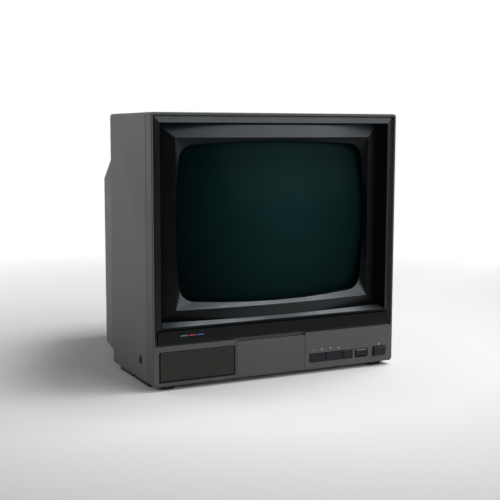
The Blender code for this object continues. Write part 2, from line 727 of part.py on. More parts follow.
def build_grille(root, surface):
    """The speaker grille: a panel of slots with a flange that holds it behind the fascia."""
    low = GRILLE_LOW + GAP
    high = GRILLE_Z1 - GAP
    left = GRILLE_X0 + GAP
    right = GRILLE_X1 - GAP
    flange = GRILLE_LIP - GAP
    grille = piece(
        "speaker_grille",
        box(left, right, GRILLE_SETBACK, GRILLE_BACK - GRILLE_FLANGE / 2, low, high),
        surface,
        root,
    )
    first = GAP - CAVITY_HALF_WIDTH
    last = BAY_LEFT - CHEEK - GAP
    back = box(first, last, FASCIA_WALL + GAP, GRILLE_BACK, FLOOR + GAP, high + flange)
    join(grille, back, "add_grille_flange")
    pitch_x = (right - left - GRILLE_WEB) / GRILLE_COLUMNS
    floor = max(low, FLOOR + GAP) + GRILLE_WEB
    pitch_z = (high - floor) / GRILLE_ROWS
    slots = []
    for column in range(GRILLE_COLUMNS):
        x = left + GRILLE_WEB + column * pitch_x
        for row in range(GRILLE_ROWS):
            z = floor + row * pitch_z
            slots.append(box(x, x + pitch_x - GRILLE_WEB, -0.01, 0.01, z, z + pitch_z - GRILLE_WEB))
    cut(grille, together(slots), "cut_grille_slots")


def build_speaker(root, frame, paper):
    """The oval speaker: a basket with its magnet, and the paper cone."""
    half = SPEAKER_LENGTH / 2
    tall = SPEAKER_HEIGHT / 2
    centre = (SPEAKER_X, SPEAKER_Z)

    def oval(inset, y):
        points = outline(half - inset, tall - inset, tall - inset - GAP, sides=2, corners=4)
        return lift(points, y, *centre)

    def round_at(radius, y):
        loop = []
        for x, _, z in oval(0, y):
            away = Vector((x - SPEAKER_X, z - SPEAKER_Z)).normalized() * radius
            loop.append((SPEAKER_X + away.x, y, SPEAKER_Z + away.y))
        return loop

    throat = SPEAKER_Y + SPEAKER_DEPTH
    inner = VOICE_RADIUS
    basket = [
        round_at(MAGNET_RADIUS, throat + MAGNET_LENGTH),
        round_at(MAGNET_RADIUS, throat),
        round_at(MAGNET_RADIUS - SPEAKER_SHEET, throat),
        oval(SPEAKER_RIM, SPEAKER_Y + SPEAKER_SHEET),
        oval(0, SPEAKER_Y + SPEAKER_SHEET),
        oval(0, SPEAKER_Y),
        oval(SPEAKER_RIM, SPEAKER_Y),
        round_at(inner, throat - SPEAKER_SHEET),
    ]
    piece("speaker_basket", skin(basket), frame, root, smooth=True)
    cone = [
        round_at(DUST_RADIUS, throat - SPEAKER_SHEET - CONE_PAPER - 2 * GAP),
        oval(SPEAKER_RIM + CONE_PAPER + 3 * GAP, SPEAKER_Y + GAP),
        oval(SPEAKER_RIM + 3 * GAP, SPEAKER_Y + GAP),
        round_at(inner - CONE_PAPER, throat - SPEAKER_SHEET - 2 * GAP),
    ]
    piece("speaker_cone", skin(cone), paper, root, smooth=True)


def build_flap(root, surface):
    """The drop-down flap, with a rib and two pins along its lower edge."""
    axis = (KNOB_X, HINGE_DEPTH, HINGE_HEIGHT)
    left = BAY_LEFT + FLAP_GAP
    right = BAY_RIGHT - FLAP_GAP
    profile = [
        (0, FLAP_LIFT),
        (FLAP_RIB, FLAP_LIFT),
        (FLAP_RIB, HINGE_HEIGHT + HINGE_PIN + 2 * GAP),
        (FLAP_THICKNESS, HINGE_HEIGHT + HINGE_PIN + FLAP_RIB),
        (FLAP_THICKNESS, FLAP_TOP - EDGE_BEVEL),
        (FLAP_THICKNESS - EDGE_BEVEL, FLAP_TOP),
        (EDGE_BEVEL, FLAP_TOP),
        (0, FLAP_TOP - EDGE_BEVEL),
    ]
    shape = skin([[(x, y, z) for y, z in profile] for x in (left, right)])
    flap = piece("control_flap", shape, surface, root, axis)
    reach = CHEEK - 3 * GAP
    ends = []
    for inner, outer in ((left + CHEEK, BAY_LEFT - reach), (right - CHEEK, BAY_RIGHT + reach)):
        line = [(HINGE_PIN, inner), (HINGE_PIN, outer)]
        ends.append(turned("X", (HINGE_DEPTH, HINGE_HEIGHT), line, SMALL_ROUND))
    join(flap, together(ends), "add_hinge_pins")


def build_rocker(root, name, x, width, surface):
    """A rocker key that turns on two upright pins behind the fascia."""
    axis = (x, KEY_PIVOT, KEY_LINE)
    half = width / 2
    tall = KEY_HEIGHT / 2
    profile = [
        (-half, -KEY_PROUD + EDGE_BEVEL),
        (-half + EDGE_BEVEL, -KEY_PROUD),
        (-EDGE_BEVEL * 2, -KEY_PROUD),
        (0, -KEY_PROUD + EDGE_BEVEL),
        (EDGE_BEVEL * 2, -KEY_PROUD),
        (half - EDGE_BEVEL, -KEY_PROUD),
        (half, -KEY_PROUD + EDGE_BEVEL),
        (half, KEY_DEPTH),
        (-half, KEY_DEPTH),
    ]
    shape = skin([[(x + across, y, z) for across, y in profile] for z in (KEY_LINE - tall, KEY_LINE + tall)])
    key = piece(name, shape, surface, root, axis)
    ends = []
    for up in (-1, 1):
        line = [
            (KEY_PIN, KEY_LINE + up * (tall - KEY_PIN_LENGTH)),
            (KEY_PIN, KEY_LINE + up * (tall + KEY_PIN_LENGTH)),
        ]
        ends.append(turned("Z", (x, KEY_PIVOT), line, SMALL_ROUND))
    join(key, together(ends), "add_" + name + "_pins")


def build_keys(root, key_surface, window_surface, frame_surface):
    """The keys, the sensor window and the frame that holds the rockers against the fascia."""
    build_rocker(root, "volume_rocker", VOLUME_X, VOLUME_WIDTH, key_surface)
    build_rocker(root, "programme_rocker", PROGRAMME_X, PROGRAMME_WIDTH, key_surface)
    half = FUNCTION_WIDTH / 2
    tall = KEY_HEIGHT / 2
    bevel = EDGE_BEVEL
    face = outline(half - bevel, tall - bevel, bevel, sides=1, corners=2)
    body = outline(half, tall, bevel, sides=1, corners=2)
    loops = [
        lift(face, -KEY_PROUD, FUNCTION_X, KEY_LINE),
        lift(body, bevel - KEY_PROUD, FUNCTION_X, KEY_LINE),
        lift(body, KEY_DEPTH, FUNCTION_X, KEY_LINE),
    ]
    piece("function_key", skin(loops), key_surface, root, (FUNCTION_X, 0, KEY_LINE))
    half = WINDOW_WIDTH / 2
    lip = WINDOW_SPACE / 6
    flange = FASCIA_WALL + GAP
    slope = WINDOW_BEVEL
    face = outline(half - slope, tall - slope, bevel, sides=1, corners=2)
    body = outline(half, tall, bevel, sides=1, corners=2)
    edge = outline(half + lip, tall + lip, bevel, sides=1, corners=2)
    loops = [
        lift(face, -WINDOW_PROUD, WINDOW_X, KEY_LINE),
        lift(body, slope - WINDOW_PROUD, WINDOW_X, KEY_LINE),
        lift(body, flange, WINDOW_X, KEY_LINE),
        lift(edge, flange, WINDOW_X, KEY_LINE),
        lift(edge, flange + lip, WINDOW_X, KEY_LINE),
    ]
    piece("sensor_window", skin(loops), window_surface, root)
    front = FASCIA_WALL + GAP
    edge = FRAME_EDGE
    low = max(KEY_LINE - tall - KEY_PIN_LENGTH - edge, FLOOR + GAP)
    high = KEY_LINE + tall + KEY_PIN_LENGTH + edge
    frame = piece(
        "key_frame",
        box(KEYS_LEFT - edge, KEYS_RIGHT + edge, front, front + FRAME_DEPTH, low, high),
        frame_surface,
        root,
    )
    space = tall + SLOT_GAP
    opening = box(KEYS_LEFT, KEYS_RIGHT, 0, FRAME_DEPTH * 3, KEY_LINE - space, KEY_LINE + space)
    cut(frame, opening, "cut_key_frame")
    notches = []
    for x in (VOLUME_X, PROGRAMME_X):
        wide = KEY_PIN + GAP
        reach = tall + KEY_PIN_LENGTH + GAP
        deep = KEY_PIVOT + KEY_PIN + GAP
        notches.append(box(x - wide, x + wide, 0, deep, KEY_LINE - reach, KEY_LINE + reach))
    cut(frame, together(notches), "cut_pin_notches")


def build_power(root, key_surface, switch_surface):
    """The push button with its rod, and the mains switch that the rod works."""
    half = POWER_WIDTH / 2
    tall = POWER_HEIGHT / 2
    bevel = EDGE_BEVEL
    rod_front = FASCIA_WALL * 2
    rod_back = rod_front + POWER_ROD_LENGTH
    lines = (
        (half - bevel, tall - bevel, -POWER_PROUD),
        (half, tall, bevel - POWER_PROUD),
        (half, tall, rod_front),
        (POWER_ROD, POWER_ROD, rod_front),
        (POWER_ROD, POWER_ROD, rod_back),
    )
    loops = [
        lift(outline(wide, high, bevel, sides=1, corners=2), y, POWER_X, KEY_LINE) for wide, high, y in lines
    ]
    piece("power_button", skin(loops), key_surface, root, (POWER_X, 0, KEY_LINE))
    body = POWER_ROD + SHELF
    front = rod_front + POWER_TRAVEL + SHELF * 2
    back = rod_back + POWER_TRAVEL + SHELF * 2
    switch = piece(
        "mains_switch",
        box(POWER_X - body, POWER_X + body, front, back, FLOOR + GAP, KEY_LINE + body),
        switch_surface,
        root,
    )
    bore = POWER_ROD + GAP
    deep = rod_back + POWER_TRAVEL + GAP
    hole = box(POWER_X - bore, POWER_X + bore, 0, deep, KEY_LINE - bore, KEY_LINE + bore)
    cut(switch, hole, "cut_switch_bore")


def build_presets(root, knob_surface, board_surface):
    """Three preset knobs in the pan behind the flap, and the board that carries their shafts."""
    back = PAN_DEPTH - GAP
    front = back - KNOB_LENGTH
    for place, name in ((-1, "brightness_knob"), (0, "contrast_knob"), (1, "colour_knob")):
        centre = (KNOB_X + place * KNOB_PITCH, KNOB_Z)
        profile = [
            (KNOB_RADIUS, front + KNOB_LENGTH / 2),
            (KNOB_RADIUS, back),
            (KNOB_SHAFT, back),
            (KNOB_SHAFT, PAN_BACK + GAP + POT_DEPTH / 2),
        ]
        shape = turned("Y", centre, profile, ROUND)
        knob = piece(name, shape, knob_surface, root, (centre[0], back, KNOB_Z), smooth=True)
        grip = KNOB_GRIP / 2
        reach = KNOB_RADIUS * 0.9
        bar = box(
            centre[0] - grip, centre[0] + grip, front, back - EDGE_BEVEL, KNOB_Z - reach, KNOB_Z + reach
        )
        join(knob, bar, "add_" + name + "_grip")
    low = FLOOR + GAP
    high = FASCIA_HEIGHT - SHELF - GAP
    left = BAY_LEFT - CHEEK + GAP
    right = WINDOW_X + WINDOW_WIDTH / 2
    y = CONTROL_BOARD_Y
    board = piece("control_board", box(left, right, y, y + BOARD, low, high), board_surface, root)
    parts = []
    holes = []
    for place in (-1, 0, 1):
        x = KNOB_X + place * KNOB_PITCH
        half = KNOB_RADIUS
        parts.append(box(x - half, x + half, PAN_BACK + GAP, y + BOARD / 2, KNOB_Z - half, KNOB_Z + half))
        line = [(KNOB_SHAFT + GAP, 0), (KNOB_SHAFT + GAP, y)]
        holes.append(turned("Y", (x, KNOB_Z), line, SMALL_ROUND))
    tip = KEY_DEPTH + FUNCTION_TRAVEL + 2 * GAP
    post = KEY_PIN * 1.5
    places = [FUNCTION_X]
    for x, width in ((VOLUME_X, VOLUME_WIDTH), (PROGRAMME_X, PROGRAMME_WIDTH)):
        places += [x - width / 3, x + width / 3]
    for x in places:
        parts.append(box(x - post, x + post, tip, y + BOARD / 2, KEY_LINE - post, KEY_LINE + post))
    eye = WINDOW_WIDTH / 4
    parts.append(box(WINDOW_X - eye, WINDOW_X + eye, tip, y + BOARD / 2, KEY_LINE - eye, KEY_LINE + eye))
    join(board, together(parts), "add_board_parts")
    cut(board, together(holes), "cut_pot_holes")


def cover_sections(inset):
    """Loops of the rear cover from its tail to its front, shrunk by an inset for the inside."""
    low_back = TAIL_LOW + inset
    high_back = TAIL_HIGH - inset
    end = DEPTH - inset
    bevel = TAIL_BEVEL
    radius = EDGE_RADIUS
    step = HUMP_STEP * 0.7
    front = COVER_FRONT
    side = HALF_WIDTH - inset
    return [
        section(TAIL_HALF_WIDTH - bevel - inset, low_back + bevel, high_back - bevel, end, radius),
        section(TAIL_HALF_WIDTH - inset, low_back, high_back, end - bevel, radius),
        section(side - HUMP_STEP - GAP, RIDGE_LOW + inset, RIDGE_HIGH - inset, RIDGE_DEPTH, radius),
        section(side - HUMP_STEP, HUMP_LOW + inset, HUMP_HIGH - inset, BOX_DEPTH + step - inset, radius),
        section(side, inset, HEIGHT - BOX_DRAFT - inset, BOX_DEPTH - inset, radius),
        section(side, inset, HEIGHT - inset, front, radius),
    ]


def build_rear_cover(root, surface):
    """The rear cover: a shell with a box part, a stepped hump and a tail, with wells, vents and holes."""
    outer = cover_sections(0)
    inner = cover_sections(WALL)
    cover = piece("rear_cover", skin(outer + inner[::-1]), surface, root)
    wells = []
    bores = []
    for side in (-1, 1):
        for z in (WELL_LOW, WELL_HIGH):
            centre = (side * WELL_X, z)
            line = [(WELL_RADIUS, WELL_FRONT), (WELL_RADIUS, BOX_DEPTH - WALL / 2)]
            wells.append(turned("Y", centre, line, SCREW_ROUND))
            floor = WELL_FRONT + SHELF
            bore = [
                (SCREW_SHANK + GAP, 0),
                (SCREW_SHANK + GAP, floor),
                (SCREW_HEAD + 2 * GAP, floor),
                (SCREW_HEAD + 2 * GAP, BOX_DEPTH + 0.01),
            ]
            bores.append(turned("Y", centre, bore, SCREW_ROUND))
    join(cover, together(wells), "add_wells")
    cut(cover, together(bores), "cut_wells")
    vents = []
    half = VENT_WIDTH / 2
    slope = HUMP_RISE * 0.3
    run = HUMP_LENGTH * 0.3
    middle = (RIDGE_DEPTH + BOX_DEPTH) / 2
    for index in range(TOP_VENTS):
        x = (index - (TOP_VENTS - 1) / 2) * VENT_PITCH
        z = (RIDGE_HIGH + HUMP_HIGH) / 2
        corners = [(middle - run, z + slope), (middle + run, z - slope)]
        loop = [(y, up - 3 * WALL) for y, up in corners] + [(y, up + 3 * WALL) for y, up in corners[::-1]]
        vents.append(skin([[(place, y, up) for y, up in loop] for place in (x - half, x + half)]))
    for index in range(BACK_VENTS):
        x = (index - (BACK_VENTS - 1) / 2) * VENT_PITCH
        top = TAIL_HIGH - TAIL_BEVEL * 2
        vents.append(box(x - half, x + half, DEPTH - 0.01, DEPTH + 0.01, top - BACK_VENT_HEIGHT, top))
    cut(cover, together(vents), "cut_vents")
    holes = []
    for x, z, radius in (
        (AERIAL_X, AERIAL_HEIGHT, AERIAL_RADIUS),
        (GLAND_X, GLAND_HEIGHT, GLAND_RADIUS),
    ):
        line = [(radius + GAP, DEPTH - 0.01), (radius + GAP, DEPTH + 0.01)]
        holes.append(turned("Y", (x, z), line, ROUND))
    line = [(EARPHONE_RADIUS + GAP, -HALF_WIDTH - 0.01), (EARPHONE_RADIUS + GAP, 0.01 - HALF_WIDTH)]
    holes.append(turned("X", (EARPHONE_DEPTH, EARPHONE_HEIGHT), line, ROUND))
    cut(cover, together(holes), "cut_socket_holes")


def build_cover_screws(root, surface):
    """Four screws at the bottom of the wells of the rear cover."""
    names = (
        ("lower_left", -1, WELL_LOW),
        ("upper_left", -1, WELL_HIGH),
        ("lower_right", 1, WELL_LOW),
        ("upper_right", 1, WELL_HIGH),
    )
    floor = WELL_FRONT + SHELF + GAP
    for name, side, z in names:
        shape = screw((side * WELL_X, z), floor, WELL_FRONT - SCREW_GRIP)
        piece("cover_screw_" + name, shape, surface, root, smooth=True)


def build_feet(root, surface):
    """Two short feet under the front cabinet and a notched runner under each side of the rear cover."""
    taper = EDGE_BEVEL * 2
    long = 2 * RUNNER_LENGTH + RUNNER_SPACE
    for side, name in ((-1, "left"), (1, "right")):
        x = side * (HALF_WIDTH - FOOT_INSET - FOOT_WIDTH / 2)
        y = FRONT_DEPTH - FOOT_LENGTH / 2 - EDGE_BEVEL
        runner_x = side * (HALF_WIDTH - RUNNER_INSET - RUNNER_WIDTH / 2)
        runner_y = RUNNER_START + long / 2
        foot_outline = outline(FOOT_WIDTH / 2, FOOT_LENGTH / 2, taper, sides=1, corners=2)
        piece("front_foot_" + name, foot(foot_outline, x, y, taper), surface, root)
        runner_outline = outline(RUNNER_WIDTH / 2, long / 2, taper, sides=1, corners=2)
        runner = piece("rear_foot_" + name, foot(runner_outline, runner_x, runner_y, taper), surface, root)
        space = RUNNER_SPACE / 2
        wide = RUNNER_WIDTH
        top = -FOOT_HEIGHT / 3
        notch = box(
            runner_x - wide, runner_x + wide, runner_y - space, runner_y + space, -2 * FOOT_HEIGHT, top
        )
        cut(runner, notch, "cut_rear_foot_" + name)


def foot(points, x, y, taper):
    """A rubber foot with a tapered lower edge, hung under the cabinet."""
    loops = []
    for inset, z in ((taper, -FOOT_HEIGHT), (0, taper - FOOT_HEIGHT), (0, -GAP)):
        shrunk = [point - point.normalized() * inset for point in points]
        loops.append([(x + across, y + along, z) for across, along in shrunk])
    return skin(loops)


def build_glass(root, surface):
    """The glass envelope: the panel with its face and skirt, and the funnel with its neck."""
    edge = tube_outline(-FACE_EDGE)
    full = tube_outline(0)
    inside = tube_outline(-SKIRT_THICKNESS)
    inner_edge = tube_outline(-SKIRT_THICKNESS - FACE_EDGE)

    def deep(extra):
        return lambda x, z: face_depth(x, z) + extra

    shares = (0.28, 0.52, 0.76, 1.0)
    loops = [lift([point * share for point in edge], face_depth, centre_z=TUBE_Z) for share in shares]
    loops.append(lift(full, deep(FACE_EDGE), centre_z=TUBE_Z))
    loops.append(lift(full, SEAL_Y - GAP, centre_z=TUBE_Z))
    loops.append(lift(inside, SEAL_Y - GAP, centre_z=TUBE_Z))
    loops.append(lift(inside, deep(FACE_EDGE + FACE_THICKNESS), centre_z=TUBE_Z))
    for share in reversed(shares):
        points = [point * share for point in inner_edge]
        loops.append(lift(points, deep(FACE_THICKNESS), centre_z=TUBE_Z))
    tips = [(0, FACE_SETBACK, TUBE_Z), (0, FACE_SETBACK + FACE_THICKNESS, TUBE_Z)]
    piece("crt_panel", skin(loops, first=tips[0], last=tips[1]), surface, root, smooth=True)
    outer = []
    inner = []
    for share in FLARE_STOPS + CONE_STOPS:
        y = SEAL_Y + share * FUNNEL_LENGTH
        glass = FUNNEL_GLASS + (NECK_GLASS - FUNNEL_GLASS) * share
        points = funnel_points(share)
        outer.append(lift(points, y, centre_z=TUBE_Z))
        shrunk = [point - point.normalized() * glass for point in points]
        inner.append(lift(shrunk, y, centre_z=TUBE_Z))
    neck = funnel_points(1.0)
    outer.append(lift(neck, NECK_END, centre_z=TUBE_Z))
    shrunk = [point - point.normalized() * NECK_GLASS for point in neck]
    inner.append(lift(shrunk, NECK_END, centre_z=TUBE_Z))
    piece("crt_funnel", skin(outer + inner[::-1], ring=True), surface, root, smooth=True)


def funnel_points(share):
    """The outline of the funnel at a share of its length: a rectangle that turns round toward the yoke."""
    panel = tube_outline(0, 3, 4)
    if share < CONE_SHARE:
        mix = (share / CONE_SHARE) ** 1.25
        return [point.lerp(point.normalized() * CONE_RADIUS, mix) for point in panel]
    left = (1 - share) / (1 - CONE_SHARE)
    radius = NECK_RADIUS + (CONE_RADIUS - NECK_RADIUS) * left ** 1.2
    return [point.normalized() * radius for point in panel]


def cone_radius(y):
    """Radius of the round part of the funnel and of the neck at a depth, never less than the glass there."""
    share = (y - SEAL_Y) / FUNNEL_LENGTH
    if share >= 1.0:
        return NECK_RADIUS
    for low, high in zip(CONE_STOPS, CONE_STOPS[1:]):
        if share <= high:
            first = funnel_points(low)[0].length
            second = funnel_points(high)[0].length
            return first + (second - first) * (share - low) / (high - low)
    return NECK_RADIUS


def build_tube_inside(root, steel, gun_steel, plastic):
    """The shadow mask, the electron gun and the pin base."""
    wide = tube_outline(-SKIRT_THICKNESS - FACE_EDGE - MASK_DEPTH, 2, 4)
    rim = tube_outline(-SKIRT_THICKNESS - 2 * GAP, 2, 4)
    start = FACE_THICKNESS + MASK_GAP

    def deep(extra):
        return lambda x, z: face_depth(x, z) + start + extra

    far = SEAL_Y - SHELF
    sheet = MASK_SHEET
    slim = [point * (1 - sheet / PANEL_HALF_HEIGHT) for point in wide]
    shares = (0.5, 1.0)
    loops = [lift([point * share for point in wide], deep(0), centre_z=TUBE_Z) for share in shares]
    loops.append(lift(wide, far - sheet, centre_z=TUBE_Z))
    loops.append(lift(rim, far - sheet, centre_z=TUBE_Z))
    loops.append(lift(rim, far, centre_z=TUBE_Z))
    loops.append(lift(slim, far, centre_z=TUBE_Z))
    for share in reversed(shares):
        loops.append(lift([point * share for point in slim], deep(sheet), centre_z=TUBE_Z))
    tips = [(0, FACE_SETBACK + start, TUBE_Z), (0, FACE_SETBACK + start + sheet, TUBE_Z)]
    piece("shadow_mask", skin(loops, first=tips[0], last=tips[1]), steel, root, smooth=True)
    bore = NECK_RADIUS - NECK_GLASS
    front = CONE_END + NECK_LENGTH * 0.12
    back = NECK_END - GAP
    long = back - front
    spring = bore * math.cos(math.pi / 12) - 2 * GAP
    lens = spring * GUN_LENS
    waist = spring * GUN_WAIST
    profile = [(lens, front)]
    for start, end in ((0.30, 0.36), (0.58, 0.66), (0.72, 0.80)):
        profile += [(lens, front + long * start), (waist, front + long * start)]
        profile += [(waist, front + long * end), (lens, front + long * end)]
    profile += [(lens, front + long * 0.9), (waist, front + long * 0.9), (waist, back)]
    piece("electron_gun", turned("Y", (0, TUBE_Z), profile, SCREW_ROUND), gun_steel, root, smooth=True)
    line = [(NECK_RADIUS * 0.9, NECK_END + GAP), (NECK_RADIUS * 0.9, BASE_BACK)]
    base = piece("crt_base", turned("Y", (0, TUBE_Z), line, ROUND), plastic, root, smooth=True)
    pins = []
    for index in range(8):
        angle = 2 * math.pi * index / 9
        away = NECK_RADIUS * 0.55
        centre = (away * math.cos(angle), TUBE_Z + away * math.sin(angle))
        line = [(KEY_PIN / 2, BASE_BACK - GAP), (KEY_PIN / 2, BASE_BACK + PIN_LENGTH)]
        pins.append(turned("Y", centre, line, 6))
    join(base, together(pins), "add_base_pins")


def build_band(root, band_surface, screw_surface):
    """The steel band round the panel with four lugs, and the screws that hold the lugs to the cabinet."""
    inner = tube_outline(GAP)
    outer = tube_outline(GAP + BAND_THICKNESS)
    back = BAND_DEPTH + BAND_WIDTH
    loops = [
        lift(inner, BAND_DEPTH, centre_z=TUBE_Z),
        lift(outer, BAND_DEPTH, centre_z=TUBE_Z),
        lift(outer, back, centre_z=TUBE_Z),
        lift(inner, back, centre_z=TUBE_Z),
    ]
    band = piece("rim_band", skin(loops, ring=True), band_surface, root, smooth=True)
    lugs = []
    holes = []
    start = GAP + BAND_THICKNESS - LUG_BITE - LUG_REACH
    end = LUG_WIDTH / 2
    front = LUG_Y - LUG_THICKNESS
    names = (("lower_left", -1, -1), ("upper_left", -1, 1), ("lower_right", 1, -1), ("upper_right", 1, 1))
    for name, side, up in names:
        lug = box(start, end, front, LUG_Y, -LUG_WIDTH / 2, LUG_WIDTH / 2)
        angle = math.atan2(up, side)
        place = Matrix.Translation((side * LUG_X, 0, TUBE_Z + up * LUG_Z)) @ Matrix.Rotation(-angle, 4, "Y")
        bmesh.ops.transform(lug, matrix=place, verts=lug.verts)
        lugs.append(lug)
        centre = (side * LUG_X, TUBE_Z + up * LUG_Z)
        line = [(SCREW_SHANK + 2 * GAP, 0), (SCREW_SHANK + 2 * GAP, 2 * LUG_Y)]
        holes.append(turned("Y", centre, line, SCREW_ROUND))
        shape = screw(centre, LUG_Y + GAP, LUG_Y - SCREW_GRIP)
        piece("tube_screw_" + name, shape, screw_surface, root, smooth=True)
    join(band, together(lugs), "add_lugs")
    cut(band, together(holes), "cut_lug_holes")


def build_degauss_coil(root, surface):
    """The taped degaussing coil round the front of the funnel."""
    share = 0.12
    y = SEAL_Y + share * FUNNEL_LENGTH
    points = funnel_points(share)
    slopes = [(front - here).length for front, here in zip(funnel_points(0), points)]
    slant = math.hypot(1, max(slopes) / (share * FUNNEL_LENGTH))
    stand = (COIL_RADIUS + GAP) * slant
    sides = 6
    loops = []
    for index, point in enumerate(points):
        after = points[(index + 1) % len(points)]
        before = points[index - 1]
        along = (after - before).normalized()
        away = Vector((along.y, -along.x))
        loop = []
        for step in range(sides):
            turn = 2 * math.pi * step / sides
            spot = point + away * (stand + COIL_RADIUS * math.cos(turn))
            loop.append((spot.x, y + COIL_RADIUS * math.sin(turn), TUBE_Z + spot.y))
        loops.append(loop)
    piece("degauss_coil", skin(loops, ring=True), surface, root, smooth=True)


def build_yoke(root, plastic, copper, ferrite):
    """The deflection yoke: a liner on the cone of the tube, two saddle coils and a ferrite core."""
    axis = (0, TUBE_Z)
    stations = [YOKE_FRONT + YOKE_LENGTH * share for share in (0, 0.3, 0.6, 1.0)]
    slack = 1.02
    inner = [(cone_radius(y) * slack + 2 * GAP, y) for y in stations]
    outer = [(radius + LINER, y) for radius, y in inner]
    flange = SADDLE + CORE
    front = [(outer[0][0] + flange, stations[0]), (outer[0][0] + flange, stations[0] + LINER)]
    back = [
        (outer[-1][0] + flange, stations[-1]),
        (outer[-1][0] + flange, stations[-1] + LINER),
        (inner[-1][0], stations[-1] + LINER),
    ]
    profile = [*inner[::-1], *front, (outer[0][0], stations[0] + LINER), *outer[1:], *back]
    piece("yoke_liner", turned("Y", axis, profile, ROUND, ring=True), plastic, root, smooth=True)
    lows = [(outer[0][0] + 2 * GAP, stations[0] + LINER + GAP)]
    lows += [(radius * slack + 2 * GAP, y) for radius, y in outer[1:-1]]
    lows += [(outer[-1][0] * slack + 2 * GAP, stations[-1] - GAP)]
    highs = [(radius + SADDLE, y) for radius, y in lows]
    steps = ROUND // 2
    for name, sign in (("upper_saddle_coil", 1), ("lower_saddle_coil", -1)):
        margin = 0.12
        loops = []
        for step in range(steps + 1):
            angle = margin + (math.pi - 2 * margin) * step / steps
            turn = (math.cos(angle), sign * math.sin(angle))
            loops.append([(turn[0] * r, y, TUBE_Z + turn[1] * r) for r, y in (*lows, *highs[::-1])])
        piece(name, skin(loops), copper, root, smooth=True)
    inside = [(radius * slack + 2 * GAP, y) for radius, y in highs[1:-1]]
    first, last = inside
    bulk = [(first[0] + CORE, first[1]), (last[0] + CORE, last[1])]
    piece(
        "yoke_core", turned("Y", axis, [last, first, *bulk], ROUND, ring=True), ferrite, root, smooth=True
    )


def build_rings(root, plastic, magnet):
    """The sleeve on the neck and the three magnet rings that turn on it."""
    axis = (0, TUBE_Z)
    inner = NECK_RADIUS + GAP
    lip = SLEEVE_RADIUS + SLEEVE
    profile = [
        (inner, SLEEVE_FRONT),
        (lip, SLEEVE_FRONT),
        (lip, SLEEVE_FRONT + LINER),
        (SLEEVE_RADIUS, SLEEVE_FRONT + LINER),
        (SLEEVE_RADIUS, SLEEVE_BACK),
        (inner, SLEEVE_BACK),
    ]
    piece("magnet_sleeve", turned("Y", axis, profile, ROUND, ring=True), plastic, root, smooth=True)
    y = SLEEVE_FRONT + LINER + GAP
    bore = SLEEVE_RADIUS / math.cos(math.pi / ROUND) + GAP
    for name in ("purity_ring", "four_pole_ring", "six_pole_ring"):
        profile = [(bore, y), (RING_RADIUS, y), (RING_RADIUS, y + RING_WIDTH), (bore, y + RING_WIDTH)]
        origin = (0, y, TUBE_Z)
        ring = piece(name, turned("Y", axis, profile, ROUND, ring=True), magnet, root, origin, smooth=True)
        tab = RING_TAB / 2
        reach = RING_RADIUS + RING_TAB
        start = TUBE_Z + (bore + RING_RADIUS) / 2
        join(ring, box(-tab, tab, y, y + RING_WIDTH, start, TUBE_Z + reach), "add_" + name + "_tab")
        y += RING_WIDTH + GAP


def build_tail(root, board_surface, plastic):
    """The socket on the pins of the tube, and the neck board behind it."""
    front = BASE_BACK + GAP
    pocket = NECK_RADIUS * 0.75
    bottom = BASE_BACK + PIN_LENGTH + GAP
    profile = [
        (SOCKET_RADIUS, SOCKET_BACK),
        (SOCKET_RADIUS, front),
        (pocket, front),
        (pocket, bottom),
    ]
    piece("crt_socket", turned("Y", (0, TUBE_Z), profile, ROUND), plastic, root, smooth=True)
    half = NECK_BOARD / 2
    shape = box(-half, half, NECK_BOARD_Y, NECK_BOARD_Y + BOARD, TUBE_Z - half, TUBE_Z + half)
    piece("neck_board", shape, board_surface, root)


def build_anode(root, rubber, cable):
    """The rubber cap on the anode contact and its lead down to the line output transformer."""
    low_share = 0.30
    high_share = 0.52
    low = funnel_points(low_share)
    high = funnel_points(high_share)
    top = max(range(len(low)), key=lambda index: low[index].y)
    run = (high_share - low_share) * FUNNEL_LENGTH
    fall = low[top].y - high[top].y
    normal = Vector((0, fall, run)).normalized()
    share = (low_share + high_share) / 2
    seat = Vector((0, SEAL_Y + share * FUNNEL_LENGTH, TUBE_Z + (low[top].y + high[top].y) / 2))
    seat += normal * 2 * GAP
    tilt = Vector((0, 0, 1)).rotation_difference(normal).to_matrix().to_4x4()
    profile = [
        (CAP_RADIUS * 0.4, CAP_HEIGHT),
        (CAP_RADIUS * 0.7, CAP_HEIGHT * 0.55),
        (CAP_RADIUS, CAP_HEIGHT * 0.2),
        (CAP_RADIUS, 0),
    ]
    shape = turned("Z", (0, 0), profile, ROUND)
    bmesh.ops.transform(shape, matrix=Matrix.Translation(seat) @ tilt, verts=shape.verts)
    piece("anode_cap", shape, rubber, root, smooth=True)
    start = seat + normal * (CAP_HEIGHT + LEAD_RADIUS + GAP)
    ahead = CAP_RADIUS * 0.3
    end = (FLYBACK_X, flyback_place() + FLYBACK_SIZE / 2, BOARD_TOP + FLYBACK_HEIGHT + 3 * GAP)
    side = HALF_WIDTH * LEAD_REACH
    points = [
        start - Vector((ahead, 0, 0)),
        start + Vector((LEAD_TAIL, 0, 0)),
        (side * 0.66, BOX_DEPTH * 0.92, TUBE_Z + PANEL_HALF_HEIGHT * 0.66),
        (side, BOX_DEPTH * 1.06, TUBE_Z + PANEL_HALF_HEIGHT * 0.1),
        (HALF_WIDTH * LEAD_RETURN, BOX_DEPTH * 1.25, TUBE_Z - PANEL_HALF_HEIGHT * 0.45),
        (end[0] + LEAD_RADIUS, end[1] - LEAD_RADIUS, end[2] + FLYBACK_HEIGHT * 0.4),
        end,
    ]
    piece("anode_lead", sweep(points, LEAD_RADIUS), cable, root, smooth=True)


def flyback_place():
    """Front of the line output transformer."""
    return (MAIN_FRONT + MAIN_BACK) / 2 + TRANSFORMER_SIZE


